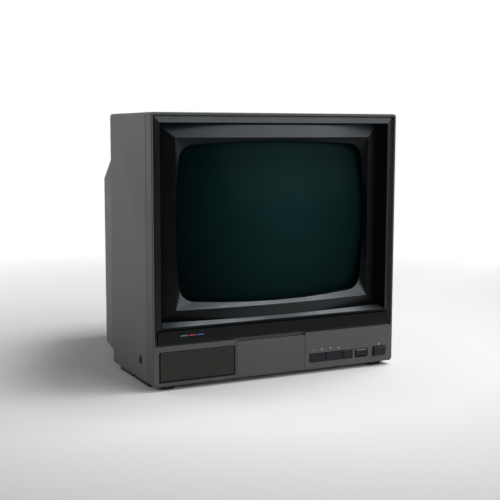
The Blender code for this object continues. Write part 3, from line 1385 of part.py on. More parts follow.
def build_chassis(root, board, rail, block, metal, wound, can):
    """The main board in its frame, with the large parts that stand on it."""
    low = MAIN_BOARD_Z
    shape = box(-MAIN_HALF_WIDTH, MAIN_HALF_WIDTH, MAIN_FRONT, MAIN_BACK, low, low + BOARD)
    piece("main_board", shape, board, root)
    floor = WALL + GAP
    inner = MAIN_HALF_WIDTH - RAIL_BITE
    outer = inner + RAIL_WIDTH
    high = RAIL_Z + RAIL_HEIGHT
    frame = piece(
        "chassis_frame", box(-outer, outer, MAIN_FRONT - RAIL_WIDTH, MAIN_BACK, RAIL_Z, high), rail, root
    )
    space = box(-inner, inner, MAIN_FRONT, MAIN_BACK + RAIL_WIDTH, RAIL_Z - RAIL_HEIGHT, high + RAIL_HEIGHT)
    cut(frame, space, "cut_chassis_space")
    legs = []
    for side in (-1, 1):
        ends = sorted((side * inner, side * outer))
        legs.append(box(*ends, MAIN_FRONT, MAIN_FRONT + RAIL_LEG, floor, RAIL_Z + GAP))
    join(frame, together(legs), "add_chassis_legs")
    reach = MAIN_HALF_WIDTH + GAP
    slot = box(-reach, reach, MAIN_FRONT - GAP, DEPTH, low - GAP, low + BOARD + GAP)
    cut(frame, slot, "cut_board_slots")
    top = BOARD_TOP + GAP
    half = FLYBACK_SIZE / 2
    x = FLYBACK_X
    y = flyback_place()
    size = FLYBACK_SIZE
    flyback = piece(
        "line_transformer", box(x - half, x + half, y, y + size, top, BOARD_TOP + FLYBACK_HEIGHT), block, root
    )
    bar = size * 0.2
    legs = [
        box(x - bar, x + bar, y - bar, y + GAP * 2, top + bar, BOARD_TOP + FLYBACK_HEIGHT - bar),
    ]
    join(flyback, together(legs), "add_transformer_core")
    half = SINK_WIDTH / 2
    x = -MAIN_HALF_WIDTH * 0.5
    plate = SHELF
    sink_y = y + size * 0.3
    sink = piece(
        "heat_sink", box(x - half, x + half, sink_y, sink_y + plate, top, top + SINK_HEIGHT), metal, root
    )
    pitch = (SINK_WIDTH - plate / 2) / (SINK_FINS - 1)
    fins = []
    for index in range(SINK_FINS):
        left = x - half + index * pitch
        right = left + plate / 2
        fins.append(box(left, right, sink_y + plate / 2, sink_y + plate * 5, top, top + SINK_HEIGHT))
    join(sink, together(fins), "add_fins")
    half = TRANSFORMER_SIZE / 2
    front = MAIN_FRONT + TRANSFORMER_SIZE * 1.4
    power = piece(
        "power_transformer",
        box(x - half, x + half, front, front + TRANSFORMER_SIZE, top, top + TRANSFORMER_HEIGHT),
        wound,
        root,
    )
    band = TRANSFORMER_SIZE * 0.2
    shape = box(
        x - half - band, x + half + band, front + band, front + TRANSFORMER_SIZE - band, top + band,
        top + TRANSFORMER_HEIGHT - band
    )
    join(power, shape, "add_power_core")
    lip = CAPACITOR_RADIUS * 0.92
    profile = [
        (CAPACITOR_RADIUS, top),
        (CAPACITOR_RADIUS, top + CAPACITOR_HEIGHT - EDGE_BEVEL),
        (lip, top + CAPACITOR_HEIGHT),
    ]
    centre = (CAPACITOR_RADIUS * 1.5, front + half)
    piece("reservoir_capacitor", turned("Z", centre, profile, ROUND), can, root, smooth=True)
    half = TUNER_WIDTH / 2
    back = MAIN_BACK - GAP
    shape = box(AERIAL_X - half, AERIAL_X + half, back - TUNER_DEPTH, back, top, top + TUNER_HEIGHT)
    piece("tuner", shape, metal, root)


def build_sockets(root, black, metal, rubber):
    """The aerial and earphone sockets, and the gland where the mains cord would go in."""
    front = MAIN_BACK + GAP
    profile = [
        (AERIAL_RADIUS, front),
        (AERIAL_RADIUS, DEPTH - GAP),
        (AERIAL_BORE, DEPTH - GAP),
        (AERIAL_BORE, DEPTH - 4 * WALL),
        (AERIAL_PIN, DEPTH - 4 * WALL),
        (AERIAL_PIN, DEPTH - WALL),
    ]
    shape = turned("Y", (AERIAL_X, AERIAL_HEIGHT), profile, ROUND)
    piece("aerial_socket", shape, metal, root, smooth=True)
    lip = GLAND_RADIUS + WALL
    inside = DEPTH - WALL - GAP
    profile = [
        (GLAND_BORE, DEPTH - GAP),
        (GLAND_RADIUS, DEPTH - GAP),
        (GLAND_RADIUS, inside),
        (lip, inside),
        (lip, inside - WALL),
        (GLAND_BORE, inside - WALL),
    ]
    shape = turned("Y", (GLAND_X, GLAND_HEIGHT), profile, ROUND, ring=True)
    piece("cord_gland", shape, rubber, root, smooth=True)
    inner = -HALF_WIDTH + WALL + GAP
    flange = EARPHONE_RADIUS + WALL
    tip = -HALF_WIDTH + EARPHONE_BORE
    profile = [
        (EARPHONE_BORE, inner + EARPHONE_LENGTH * 0.9),
        (EARPHONE_BORE, tip),
        (EARPHONE_RADIUS * 0.7, tip),
        (EARPHONE_RADIUS, tip + EDGE_BEVEL),
        (EARPHONE_RADIUS, inner),
        (flange, inner),
        (flange, inner + WALL),
        (EARPHONE_RADIUS, inner + WALL),
        (EARPHONE_RADIUS, inner + EARPHONE_LENGTH),
    ]
    shape = turned("X", (EARPHONE_DEPTH, EARPHONE_HEIGHT), profile, ROUND)
    piece("earphone_socket", shape, black, root, smooth=True)


def main():
    """Builds every piece under one empty, which stands the set on its feet with its depth centred."""
    clear_scene()
    proud = POWER_PROUD
    root = empty("television", (0, proud / 2 - DEPTH / 2, FOOT_HEIGHT))
    grey = finish("cabinet_grey", (0.105, 0.108, 0.110), 0.55)
    charcoal = finish("bezel_charcoal", (0.008, 0.010, 0.012), 0.38)
    gloss = finish("gloss_black", (0.005, 0.006, 0.007), 0.12)
    cloth = finish("grille_brown", (0.032, 0.030, 0.026), 0.70)
    key = finish("key_grey", (0.021, 0.023, 0.027), 0.40)
    tint = finish("sensor_tint", (0.030, 0.008, 0.022), 0.15)
    rubber = finish("rubber_black", (0.012, 0.012, 0.012), 0.80)
    glass = finish("tube_glass", (0.012, 0.035, 0.040), 0.06)
    steel = finish("plated_steel", (0.55, 0.55, 0.56), 0.35, 1.0)
    dark_steel = finish("mask_steel", (0.10, 0.10, 0.10), 0.50, 1.0)
    copper = finish("copper_winding", (0.50, 0.20, 0.07), 0.40, 1.0)
    ferrite = finish("ferrite", (0.045, 0.045, 0.048), 0.60)
    board = finish("board_tan", (0.36, 0.23, 0.10), 0.65)
    ivory = finish("moulding_ivory", (0.60, 0.58, 0.50), 0.50)
    alloy = finish("aluminium", (0.70, 0.70, 0.71), 0.35, 1.0)
    paper = finish("cone_paper", (0.030, 0.030, 0.030), 0.85)
    red = finish("lead_red", (0.30, 0.02, 0.02), 0.45)
    build_front_cabinet(root, grey)
    build_bezel(root, charcoal)
    build_trim(root, gloss)
    build_grille(root, cloth)
    build_speaker(root, steel, paper)
    build_flap(root, grey)
    build_keys(root, key, tint, ivory)
    build_power(root, key, rubber)
    build_presets(root, charcoal, board)
    build_rear_cover(root, grey)
    build_cover_screws(root, steel)
    build_feet(root, rubber)
    build_glass(root, glass)
    build_tube_inside(root, dark_steel, steel, ivory)
    build_band(root, steel, steel)
    build_degauss_coil(root, rubber)
    build_yoke(root, ivory, copper, ferrite)
    build_rings(root, ivory, ferrite)
    build_tail(root, board, ivory)
    build_anode(root, rubber, red)
    build_chassis(root, board, ivory, rubber, alloy, copper, alloy)
    build_sockets(root, rubber, steel, rubber)


main()
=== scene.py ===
"""Looks of a portable television: finishes, fine grille, printed marks, floor, light and camera."""

import math

import bmesh
import bpy
from mathutils import Matrix, Vector


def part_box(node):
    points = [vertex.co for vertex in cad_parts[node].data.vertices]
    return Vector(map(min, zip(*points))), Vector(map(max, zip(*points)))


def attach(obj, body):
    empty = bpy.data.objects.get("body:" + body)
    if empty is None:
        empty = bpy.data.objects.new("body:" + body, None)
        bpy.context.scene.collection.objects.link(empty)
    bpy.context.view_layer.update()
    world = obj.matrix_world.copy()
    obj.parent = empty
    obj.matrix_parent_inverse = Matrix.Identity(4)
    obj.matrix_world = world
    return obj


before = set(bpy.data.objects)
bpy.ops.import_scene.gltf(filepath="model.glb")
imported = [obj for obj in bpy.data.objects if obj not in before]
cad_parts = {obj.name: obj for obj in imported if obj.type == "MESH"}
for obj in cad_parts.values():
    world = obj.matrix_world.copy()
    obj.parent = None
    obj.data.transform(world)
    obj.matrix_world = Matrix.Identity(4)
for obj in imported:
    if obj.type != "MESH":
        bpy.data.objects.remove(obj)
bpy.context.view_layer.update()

# Camera read from the photograph, measured from the middle of the front plane at the cabinet's lower edge
CAMERA_PLACE = (-0.62215, -1.16235, 0.32635)
CAMERA_AZIMUTH = -26.425
CAMERA_ELEVATION = 6.932
CAMERA_ROLL = 0.135
CAMERA_LENS = 72.44
CAMERA_SENSOR = 36

# Soft edges of the moulded pieces: widths and weld in metres, steps, and angles between faces in degrees
EDGE = 0.00045
FINE_EDGE = 0.00025
EDGE_STEPS = 2
WELD = 0.00001
FLAT_ANGLE = 0.3
SMOOTH_ANGLE = 38
CRISP_ANGLE = 20

# Fine grille in front of the slotted moulding, with the dust cloth behind it, in metres
MESH_PITCH = 0.00190
MESH_HOLE = 0.00110
MESH_SHEET = 0.00040
MESH_LIFT = 0.00012
MESH_BORDER = 0.0022
CLOTH_LIFT = 0.00003
CLOTH_SHEET = 0.00006

# Printed marks, in metres
INK = 0.00004
BAR_LENGTH = 0.0094
BAR_HEIGHT = 0.0013
BAR_PITCH = 0.0112
BAR_START = 0.0311
BAR_RISE = 0.0089
SIGN_SIZE = 0.0026
SIGN_LINE = 0.0005
SIGN_RISE = 0.0034

# Printed signs: an arrow's base and tip against half a sign, half the power gap in degrees, steps of a round
ARROW_BASE = 0.7
ARROW_TIP = 0.8
POWER_GAP = 35
SIGN_ROUND = 24

# Sill along the ledge under the screen, in metres, its heights from the bezel's lowest point
SILL_LOW = 0.0210
SILL_HIGH = 0.0250
SILL_SETBACK = 0.0026
SILL_RADIUS = 0.7500
SILL_HALF = 0.1632
SILL_FADE = (0.030, 0.110)
SILL_SKIN = 0.00005
SILL_BITE = 0.0006

# The sill's front length against its back, the rise of its crest, its depth at the ends and its steps
SILL_FLARE = 1.022
SILL_SLOPE = 0.13
SILL_SHARE = 0.45
SILL_STEPS = 120

# Painted light on the tube's face, lighter in the middle and darker towards the rim with painted shade: its
# shift from the centre and its reach, in metres
PAINTED_LIGHT_RIGHT = 0.012
PAINTED_LIGHT_UP = 0.025
PAINTED_LIGHT_WIDE = 0.142
PAINTED_LIGHT_HIGH = 0.165

# Cool cast of the light that the dark mouldings mirror
COOL = (0.86, 0.94, 1.0, 1.0)

# Painted shade on the bezel: the side that the light comes from, and how nearly a face points to it where
# the painted shade leaves its shine least and full
LIT_FROM = (0.4, -0.5, 0.7)
PAINTED_SHADE_FADE = (0.26, 0.54)

# Worn edges: their width in metres, and how much lighter they are
RUB_RADIUS = 0.0009
RUB_LIGHTER = 1.9

# Texture scales of the slow changes of tone, the phosphor stripes and the wound wire
SLOW_SCALE = 14
STRIPE_SCALE = 560
WIRE_SCALE = 160

# Floor and room: sizes in metres, tones as they show on a screen, strengths where 1 is white
FLOOR_SIZE = 40.0
FLOOR_NEAR = 0.40
FLOOR_FAR = 1.20
FLOOR_TONE = (228, 228, 228)
ROOM_FRONT = 0.16
ROOM_LIGHT = 0.12
WHITE = (1, 1, 1, 1)

# Square soft lamps: place, aim and side in metres, and power in watts
LAMPS = {
    "key": ((0.88, -1.50, 0.98), (0, -0.15, 0.28), 1.6, 20),
    "above": ((0.85, -0.20, 1.85), (0, -0.15, 0.1), 1.2, 35),
    "side": ((-1.40, 1.15, 0.85), (-0.15, 0.05, 0.0), 1.2, 11),
}

# CAD nodes by finish, and those whose edges are softened
CORNERS = ("upper_left", "upper_right", "lower_left", "lower_right")
SCREWS = [f"{part}_screw_{corner}" for part in ("tube", "cover") for corner in CORNERS]
DRESS = {
    "cabinet": ["front_cabinet", "control_flap"],
    "rear": ["rear_cover"],
    "bezel": ["screen_bezel"],
    "key": ["power_button", "volume_rocker", "programme_rocker", "function_key"],
    "knob": ["brightness_knob", "contrast_knob", "colour_knob"],
    "grille_back": ["speaker_grille"],
    "trim": ["trim_strip"],
    "window": ["sensor_window"],
    "rubber": [
        "front_foot_left", "front_foot_right", "rear_foot_left", "rear_foot_right", "anode_cap",
        "earphone_socket", "cord_gland", "degauss_coil", "mains_switch", "line_transformer",
    ],
    "glass": ["crt_panel"],
    "funnel": ["crt_funnel"],
    "steel": ["rim_band", "electron_gun", "aerial_socket", *SCREWS],
    "mask": ["shadow_mask", "speaker_basket"],
    "copper": ["upper_saddle_coil", "lower_saddle_coil", "power_transformer"],
    "ferrite": ["yoke_core", "purity_ring", "four_pole_ring", "six_pole_ring"],
    "board": ["main_board", "control_board", "neck_board"],
    "ivory": ["yoke_liner", "magnet_sleeve", "crt_socket", "crt_base", "key_frame", "chassis_frame"],
    "aluminium": ["heat_sink", "tuner", "reservoir_capacitor"],
    "paper": ["speaker_cone"],
    "lead": ["anode_lead"],
}
EDGES = {
    "front_cabinet": EDGE,
    "rear_cover": EDGE,
    "power_button": EDGE,
    "sensor_window": EDGE,
    "control_flap": FINE_EDGE,
    "screen_bezel": FINE_EDGE,
    "volume_rocker": FINE_EDGE,
    "programme_rocker": FINE_EDGE,
    "function_key": FINE_EDGE,
    "trim_strip": FINE_EDGE,
}


def tone(red, green, blue):
    """A colour as it shows on a screen, from 0 to 255, as the linear values that Blender takes."""
    linear = []
    for value in (red, green, blue):
        share = value / 255
        linear.append(share / 12.92 if share <= 0.04045 else ((share + 0.055) / 1.055) ** 2.4)
    return (*linear, 1.0)


def scaled(colour, factor):
    """A colour made lighter or darker."""
    return (*(min(part * factor, 1.0) for part in colour[:3]), 1.0)


def blank(name, **sockets):
    """A new material and its Principled shader, with constant values on the shader's own sockets."""
    made = bpy.data.materials.new(name)
    made.use_nodes = True
    shader = made.node_tree.nodes["Principled BSDF"]
    for socket, value in sockets.items():
        shader.inputs[socket.replace("_", " ")].default_value = value
    return made, shader


def node(tree, kind, inputs=(), **settings):
    """A node of the given kind, with its settings and its inputs set or linked."""
    made = tree.nodes.new(kind)
    for name, value in settings.items():
        setattr(made, name, value)
    for name, value in dict(inputs).items():
        if isinstance(value, bpy.types.NodeSocket):
            tree.links.new(value, made.inputs[name])
        else:
            made.inputs[name].default_value = value
    return made


def noise(tree, scale, detail=2.0, stretch=(1, 1, 1)):
    """Noise over the object's own place, in lumps per metre."""
    place = node(tree, "ShaderNodeTexCoord").outputs["Object"]
    if stretch != (1, 1, 1):
        place = node(tree, "ShaderNodeMapping", {"Vector": place, "Scale": stretch}).outputs["Vector"]
    made = node(tree, "ShaderNodeTexNoise", {"Vector": place, "Scale": scale, "Detail": detail})
    return made.outputs["Fac"]


def spread(tree, value, low, high, start=0.3, end=0.7):
    """A value mapped from one range to another."""
    inputs = {"Value": value, "From Min": start, "From Max": end, "To Min": low, "To Max": high}
    return node(tree, "ShaderNodeMapRange", inputs).outputs["Result"]


def measure(tree, operation, *vectors):
    """A number worked out from vectors."""
    return node(tree, "ShaderNodeVectorMath", enumerate(vectors), operation=operation).outputs["Value"]


def blend_colours(tree, factor, first, second):
    """A colour between two others."""
    return node(tree, "ShaderNodeMix", {0: factor, 6: first, 7: second}, data_type="RGBA").outputs[2]


def emboss(tree, shader, height, distance, strength):
    """Raises the fine relief of a surface."""
    bump = node(tree, "ShaderNodeBump", {"Height": height, "Distance": distance, "Strength": strength})
    tree.links.new(bump.outputs["Normal"], shader.inputs["Normal"])


def rub(tree, radius):
    """One on edges that hands and dusters touch, zero on flat faces."""
    soft = node(tree, "ShaderNodeBevel", {"Radius": radius}, samples=6).outputs["Normal"]
    flat = node(tree, "ShaderNodeNewGeometry").outputs["Normal"]
    return spread(tree, measure(tree, "DOT_PRODUCT", soft, flat), 1.0, 0.0, 0.80, 0.99)


def paint_shade_away(tree, shader, least, most):
    """Painted shade: takes shine off the faces that turn away from the light."""
    normal = node(tree, "ShaderNodeNewGeometry").outputs["Normal"]
    shine = spread(tree, measure(tree, "DOT_PRODUCT", normal, LIT_FROM), least, most, *PAINTED_SHADE_FADE)
    tree.links.new(shine, shader.inputs["Specular IOR Level"])


def moulded(
    name, colour, roughness, grain=2600, depth=0.00006, mottle=0.05, wear=0.25,
    specular=0.35, away=None, tint=WHITE,
):
    """Spark-textured plastic: fine grain, slow changes of tone and lighter edges, with painted shade on
    faces turned from the light when away is given.
    """
    made, shader = blank(name, Specular_IOR_Level=specular, Specular_Tint=tint)
    tree = made.node_tree
    slow = spread(tree, noise(tree, SLOW_SCALE, 3.0), 0.0, 1.0)
    speck = spread(tree, noise(tree, grain, 1.0), 0.0, 1.0)
    worn = node(tree, "ShaderNodeMath", {0: rub(tree, RUB_RADIUS), 1: wear}, operation="MULTIPLY")
    base = blend_colours(tree, slow, scaled(colour, 1 - mottle), scaled(colour, 1 + mottle))
    base = blend_colours(tree, speck, base, scaled(colour, 1 + 3 * mottle))
    base = blend_colours(tree, worn.outputs["Value"], base, scaled(colour, RUB_LIGHTER))
    tree.links.new(base, shader.inputs["Base Color"])
    tree.links.new(spread(tree, slow, roughness - 0.04, roughness + 0.05, 0, 1), shader.inputs["Roughness"])
    emboss(tree, shader, noise(tree, grain, 2.0), depth, 0.6)
    # Painted shade: less shine on the faces that turn away from the light
    if away is not None:
        paint_shade_away(tree, shader, away, specular)
    return made


def polished(name, colour, roughness, specular=0.5):
    """Gloss plastic with a little haze from wiping."""
    made, shader = blank(name, Specular_IOR_Level=specular)
    tree = made.node_tree
    haze = noise(tree, 60, 4.0, (1, 1, 4))
    base = blend_colours(tree, spread(tree, haze, 0.0, 1.0), colour, scaled(colour, 1.5))
    tree.links.new(base, shader.inputs["Base Color"])
    tree.links.new(spread(tree, haze, roughness, roughness + 0.12), shader.inputs["Roughness"])
    emboss(tree, shader, noise(tree, 90, 1.0), 0.00002, 0.4)
    return made


def screen_glass(name, middle, rim, centre, reach):
    """Dark glass of the tube's face with the fine stripes of the phosphor: painted light makes it lighter in
    the middle, painted shade darker at the rim.
    """
    made, shader = blank(name, Specular_IOR_Level=0.012, Roughness=0.18, IOR=1.52)
    tree = made.node_tree
    place = node(tree, "ShaderNodeTexCoord").outputs["Object"]
    inputs = {"Vector": place, "Location": centre, "Scale": reach}
    away = node(tree, "ShaderNodeMapping", inputs, vector_type="TEXTURE").outputs["Vector"]
    # Painted shade: the colour turns from the lit middle to the darker rim
    rim_shade = spread(tree, measure(tree, "LENGTH", away), 0.0, 1.0, 0.15, 1.15)
    waves = node(tree, "ShaderNodeTexWave", {"Vector": place, "Scale": STRIPE_SCALE, "Distortion": 0.0})
    stripes = spread(tree, waves.outputs["Fac"], 0.0, 0.10, 0.0, 1.0)
    base = blend_colours(tree, rim_shade, middle, rim)
    base = blend_colours(tree, stripes, base, scaled(middle, 1.6))
    tree.links.new(base, shader.inputs["Base Color"])
    return made


def metal(name, colour, roughness, stretch=(1, 1, 1), scale=900):
    """Plated or brushed metal with fine uneven polish."""
    made, shader = blank(name, Metallic=1.0)
    tree = made.node_tree
    grain = noise(tree, scale, 3.0, stretch)
    base = blend_colours(tree, spread(tree, noise(tree, 40), 0, 1), colour, scaled(colour, 0.8))
    tree.links.new(base, shader.inputs["Base Color"])
    tree.links.new(spread(tree, grain, roughness - 0.08, roughness + 0.12), shader.inputs["Roughness"])
    emboss(tree, shader, grain, 0.00003, 0.5)
    return made


def wound(name, colour):
    """Lacquered copper wire laid side by side, with painted shade in the grooves between the wires."""
    made, shader = blank(name, Metallic=0.75, Coat_Weight=0.4, Coat_Roughness=0.2)
    tree = made.node_tree
    place = node(tree, "ShaderNodeTexCoord").outputs["Object"]
    inputs = {"Vector": place, "Scale": WIRE_SCALE, "Distortion": 1.5, "Detail": 2.0}
    height = node(tree, "ShaderNodeTexWave", inputs).outputs["Fac"]
    # Painted shade: the copper is darker down in the grooves between the wires
    base = blend_colours(tree, height, scaled(colour, 0.45), colour)
    tree.links.new(base, shader.inputs["Base Color"])
    tree.links.new(spread(tree, height, 0.45, 0.28, 0, 1), shader.inputs["Roughness"])
    emboss(tree, shader, height, 0.0004, 0.8)
    return made


def make_finishes():
    """Every material, by name."""
    # Centre and reach of the painted light and shade on the tube's face
    lo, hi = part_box("crt_panel")
    middle = (lo + hi) / 2
    centre = (middle.x + PAINTED_LIGHT_RIGHT, lo.y, middle.z + PAINTED_LIGHT_UP)
    reach = (PAINTED_LIGHT_WIDE, 1.0, PAINTED_LIGHT_HIGH)
    return {
        "cabinet": moulded("cabinet_grey", tone(76, 76, 76), 0.52, specular=0.2),
        "rear": moulded("rear_grey", tone(87, 88, 87), 0.55, grain=1900, depth=0.0001, specular=0.2),
        # The bezel's away value sets the painted shade that takes its shine off faces turned from the light
        "bezel": moulded(
            "bezel_charcoal", tone(7, 9, 11), 0.36, mottle=0.08, wear=0.05,
            specular=0.55, away=0.14, tint=COOL,
        ),
        "key": moulded("key_dark", tone(26, 28, 32), 0.36, mottle=0.06, wear=0.3, specular=0.18),
        "knob": moulded("knob_dark", tone(34, 35, 37), 0.40),
        "grille": moulded("grille_brown", tone(54, 53, 50), 0.55, grain=3200, wear=0.1, specular=0.15),
        "cloth": moulded("dust_cloth", tone(12, 12, 11), 0.90, 5000, 0.0001, mottle=0.2, wear=0),
        "grille_back": moulded("grille_moulding", tone(10, 10, 9), 0.60, specular=0.15),
        "trim": polished("gloss_black", tone(6, 8, 10), 0.10, specular=0.15),
        "window": polished("sensor_tint", tone(26, 22, 30), 0.12, specular=0.2),
        "rubber": moulded("rubber_black", tone(24, 24, 25), 0.72, grain=1400, depth=0.0001),
        # The tube's face: its lighter middle is painted light and its darker rim painted shade
        "glass": screen_glass("tube_face", tone(15, 38, 38), tone(0, 5, 6), centre, reach),
        "funnel": moulded("funnel_coating", tone(30, 31, 33), 0.75, 900, 0.0001, mottle=0.15),
        "steel": metal("plated_steel", tone(196, 194, 186), 0.34),
        "mask": metal("mask_steel", tone(58, 58, 62), 0.45),
        "copper": wound("copper_winding", tone(186, 104, 60)),
        "ferrite": moulded("ferrite", tone(58, 58, 61), 0.60, 1500, 0.0002, mottle=0.12),
        "board": moulded("board_tan", tone(166, 128, 80), 0.50, 700, 0.00005, mottle=0.12),
        "ivory": moulded("moulding_ivory", tone(204, 200, 184), 0.46),
        "aluminium": metal("aluminium", tone(214, 216, 220), 0.30, (1, 1, 14)),
        "paper": moulded("cone_paper", tone(52, 51, 47), 0.90, 1200, 0.0003, mottle=0.18, wear=0),
        "lead": moulded("lead_red", tone(168, 40, 34), 0.38),
        "ink": moulded("ink_pale", tone(196, 198, 198), 0.55, grain=4000, wear=0),
        "ink_green": moulded("ink_green", tone(84, 128, 110), 0.50, grain=4000, wear=0),
        "ink_red": moulded("ink_red", tone(176, 52, 56), 0.50, grain=4000, wear=0),
        "ink_blue": moulded("ink_blue", tone(58, 96, 166), 0.50, grain=4000, wear=0),
    }


def smoothing(limit):
    """A geometry group that shades a mesh smooth but keeps the edges sharper than an angle in degrees."""
    group = bpy.data.node_groups.new(f"smooth_below_{limit}", "GeometryNodeTree")
    for way in ("INPUT", "OUTPUT"):
        group.interface.new_socket("Geometry", in_out=way, socket_type="NodeSocketGeometry")
    start = node(group, "NodeGroupInput")
    angle = node(group, "GeometryNodeInputMeshEdgeAngle").outputs["Unsigned Angle"]
    inputs = {0: angle, 1: math.radians(limit)}
    sharp = node(group, "FunctionNodeCompare", inputs, operation="GREATER_THAN").outputs["Result"]
    inputs = {"Mesh": start.outputs[0], "Remove Custom": True, "Edge Sharpness": sharp}
    shaded = node(group, "GeometryNodeSetMeshNormal", inputs, mode="SHARPNESS")
    node(group, "NodeGroupOutput", {0: shaded.outputs["Mesh"]})
    return group


def soften(made, width):
    """Joins the flat facets of a moulding and rounds its edges a little."""
    flat = made.modifiers.new("flat_faces", "DECIMATE")
    flat.decimate_type = "DISSOLVE"
    flat.angle_limit = math.radians(FLAT_ANGLE)
    soft = made.modifiers.new("soft_edges", "BEVEL")
    soft.width = width
    soft.segments = EDGE_STEPS
    soft.limit_method = "ANGLE"
    soft.angle_limit = math.radians(SMOOTH_ANGLE)


def dress_nodes(finishes, plain, crisp):
    """Gives each CAD node its finish, soft edges where it is a visible moulding, and smooth round faces."""
    for finish, names in DRESS.items():
        for name in names:
            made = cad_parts[name]
            made.data.materials.clear()
            made.data.materials.append(finishes[finish])
            weld = made.modifiers.new("weld", "WELD")
            weld.merge_threshold = WELD
            if name in EDGES:
                soften(made, EDGES[name])
            shade = made.modifiers.new("smooth", "NODES")
            shade.node_group = crisp if finish in ("glass", "bezel") else plain
            if name in EDGES:
                level = made.modifiers.new("level_faces", "WEIGHTED_NORMAL")
                level.keep_sharp = True


def mesh_object(name, shape, finish):
    """An object in the scene, made from a bmesh and given one finish."""
    mesh = bpy.data.meshes.new(name)
    shape.to_mesh(mesh)
    shape.free()
    mesh.materials.append(finish)
    made = bpy.data.objects.new(name, mesh)
    bpy.context.scene.collection.objects.link(made)
    return made


def add_piece(name, shape, finish, body):
    """A mesh piece drawn in place, riding a body."""
    made = mesh_object(name, shape, finish)
    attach(made, body)
    return made


def block(shape, lo, hi):
    """Adds a box to a bmesh, from its lowest to its highest corner."""
    centre = (Vector(lo) + Vector(hi)) / 2
    size = Vector(hi) - Vector(lo)
    place = Matrix.Translation(centre) @ Matrix.Diagonal((*size, 1.0))
    bmesh.ops.create_cube(shape, size=1.0, matrix=place)


def hole_edges(first, last):
    """Where a row of holes begins and ends between two edges of a sheet, with the edges themselves."""
    count = int((last - first) / MESH_PITCH)
    start = (first + last - count * MESH_PITCH) / 2
    web = (MESH_PITCH - MESH_HOLE) / 2
    stops = [first]
    for index in range(count):
        stops.append(start + index * MESH_PITCH + web)
        stops.append(start + (index + 1) * MESH_PITCH - web)
    stops.append(last)
    return stops


def perforated(shape, lo, hi, front, back):
    """Adds a sheet with rows of square holes to a bmesh, between two corners in X and Z."""
    across = hole_edges(lo[0], hi[0])
    upward = hole_edges(lo[1], hi[1])
    columns = len(across) - 1
    rows = len(upward) - 1
    grid = {}
    for layer, y in ((0, front), (1, back)):
        for i, x in enumerate(across):
            for j, z in enumerate(upward):
                grid[layer, i, j] = shape.verts.new((x, y, z))

    def solid(i, j):
        """Whether a cell of the grid lies in the sheet and isn't a hole."""
        inside = 0 <= i < columns and 0 <= j < rows
        return inside and not (i % 2 == 1 and j % 2 == 1)

    for i in range(columns):
        for j in range(rows):
            if not solid(i, j):
                continue
            corners = ((i, j), (i + 1, j), (i + 1, j + 1), (i, j + 1))
            shape.faces.new([grid[(0, *corner)] for corner in corners])
            shape.faces.new([grid[(1, *corner)] for corner in reversed(corners)])
            sides = ((i, j - 1), (i + 1, j), (i, j + 1), (i - 1, j))
            for index, beside in enumerate(sides):
                if solid(*beside):
                    continue
                a = corners[index]
                b = corners[(index + 1) % 4]
                shape.faces.new((grid[(0, *b)], grid[(0, *a)], grid[(1, *a)], grid[(1, *b)]))


def add_grille(finishes):
    """The fine perforated sheet in front of the slotted grille moulding, with a dust cloth between them."""
    lo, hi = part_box("speaker_grille")
    left = lo.x + MESH_BORDER
    right = hi.x - MESH_BORDER
    low = lo.z + MESH_BORDER
    high = hi.z - MESH_BORDER
    back = lo.y - MESH_LIFT
    sheet = bmesh.new()
    perforated(sheet, (left, low), (right, high), back - MESH_SHEET, back)
    add_piece("grille_mesh", sheet, finishes["grille"], "cabinet")
    back = lo.y - CLOTH_LIFT
    cloth = bmesh.new()
    block(cloth, (left, back - CLOTH_SHEET, low), (right, back, high))
    add_piece("grille_cloth", cloth, finishes["cloth"], "cabinet")


def add_sill(finishes, crisp):
    """The sloped sill under the screen: a skin on the ledge in the middle, a wedge towards its ends."""
    lo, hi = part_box("screen_bezel")
    middle = (lo.x + hi.x) / 2
    low = lo.z + SILL_LOW
    high = lo.z + SILL_HIGH
    shape = bmesh.new()
    sections = []
    for index in range(SILL_STEPS + 1):
        across = SILL_HALF * (2 * index / SILL_STEPS - 1)
        depth = SILL_SETBACK + SILL_RADIUS - math.sqrt(SILL_RADIUS ** 2 - across ** 2)
        fade = min(max((abs(across) - SILL_FADE[0]) / (SILL_FADE[1] - SILL_FADE[0]), 0.0), 1.0)
        share = 1 - (1 - SILL_SHARE) * fade * fade * (3 - 2 * fade)
        crest = high + SILL_SLOPE * depth * (1 - share)
        front = (middle + across * SILL_FLARE, lo.y - SILL_SKIN, low)
        top = (middle + across, lo.y + depth * share - SILL_SKIN, crest + SILL_SKIN)
        back = (middle + across, lo.y + depth + SILL_BITE, high - SILL_BITE)
        sections.append([shape.verts.new(point) for point in (front, top, back)])
    for first, second in zip(sections, sections[1:]):
        for index in range(3):
            after = (index + 1) % 3
            shape.faces.new((first[index], first[after], second[after], second[index]))
    shape.faces.new(sections[0])
    shape.faces.new(sections[-1])
    bmesh.ops.recalc_face_normals(shape, faces=shape.faces)
    made = add_piece("sill", shape, finishes["bezel"], "cabinet")
    shade = made.modifiers.new("smooth", "NODES")
    shade.node_group = crisp


def add_bars(finishes):
    """Three plain colour bars printed on the trim strip."""
    lo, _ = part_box("trim_strip")
    for index, colour in enumerate(("green", "red", "blue")):
        x = lo.x + BAR_START + index * BAR_PITCH
        z = lo.z + BAR_RISE
        shape = bmesh.new()
        block(shape, (x, lo.y - INK, z), (x + BAR_LENGTH, lo.y + INK, z + BAR_HEIGHT))
        add_piece(f"bar_{colour}", shape, finishes[f"ink_{colour}"], "cabinet")


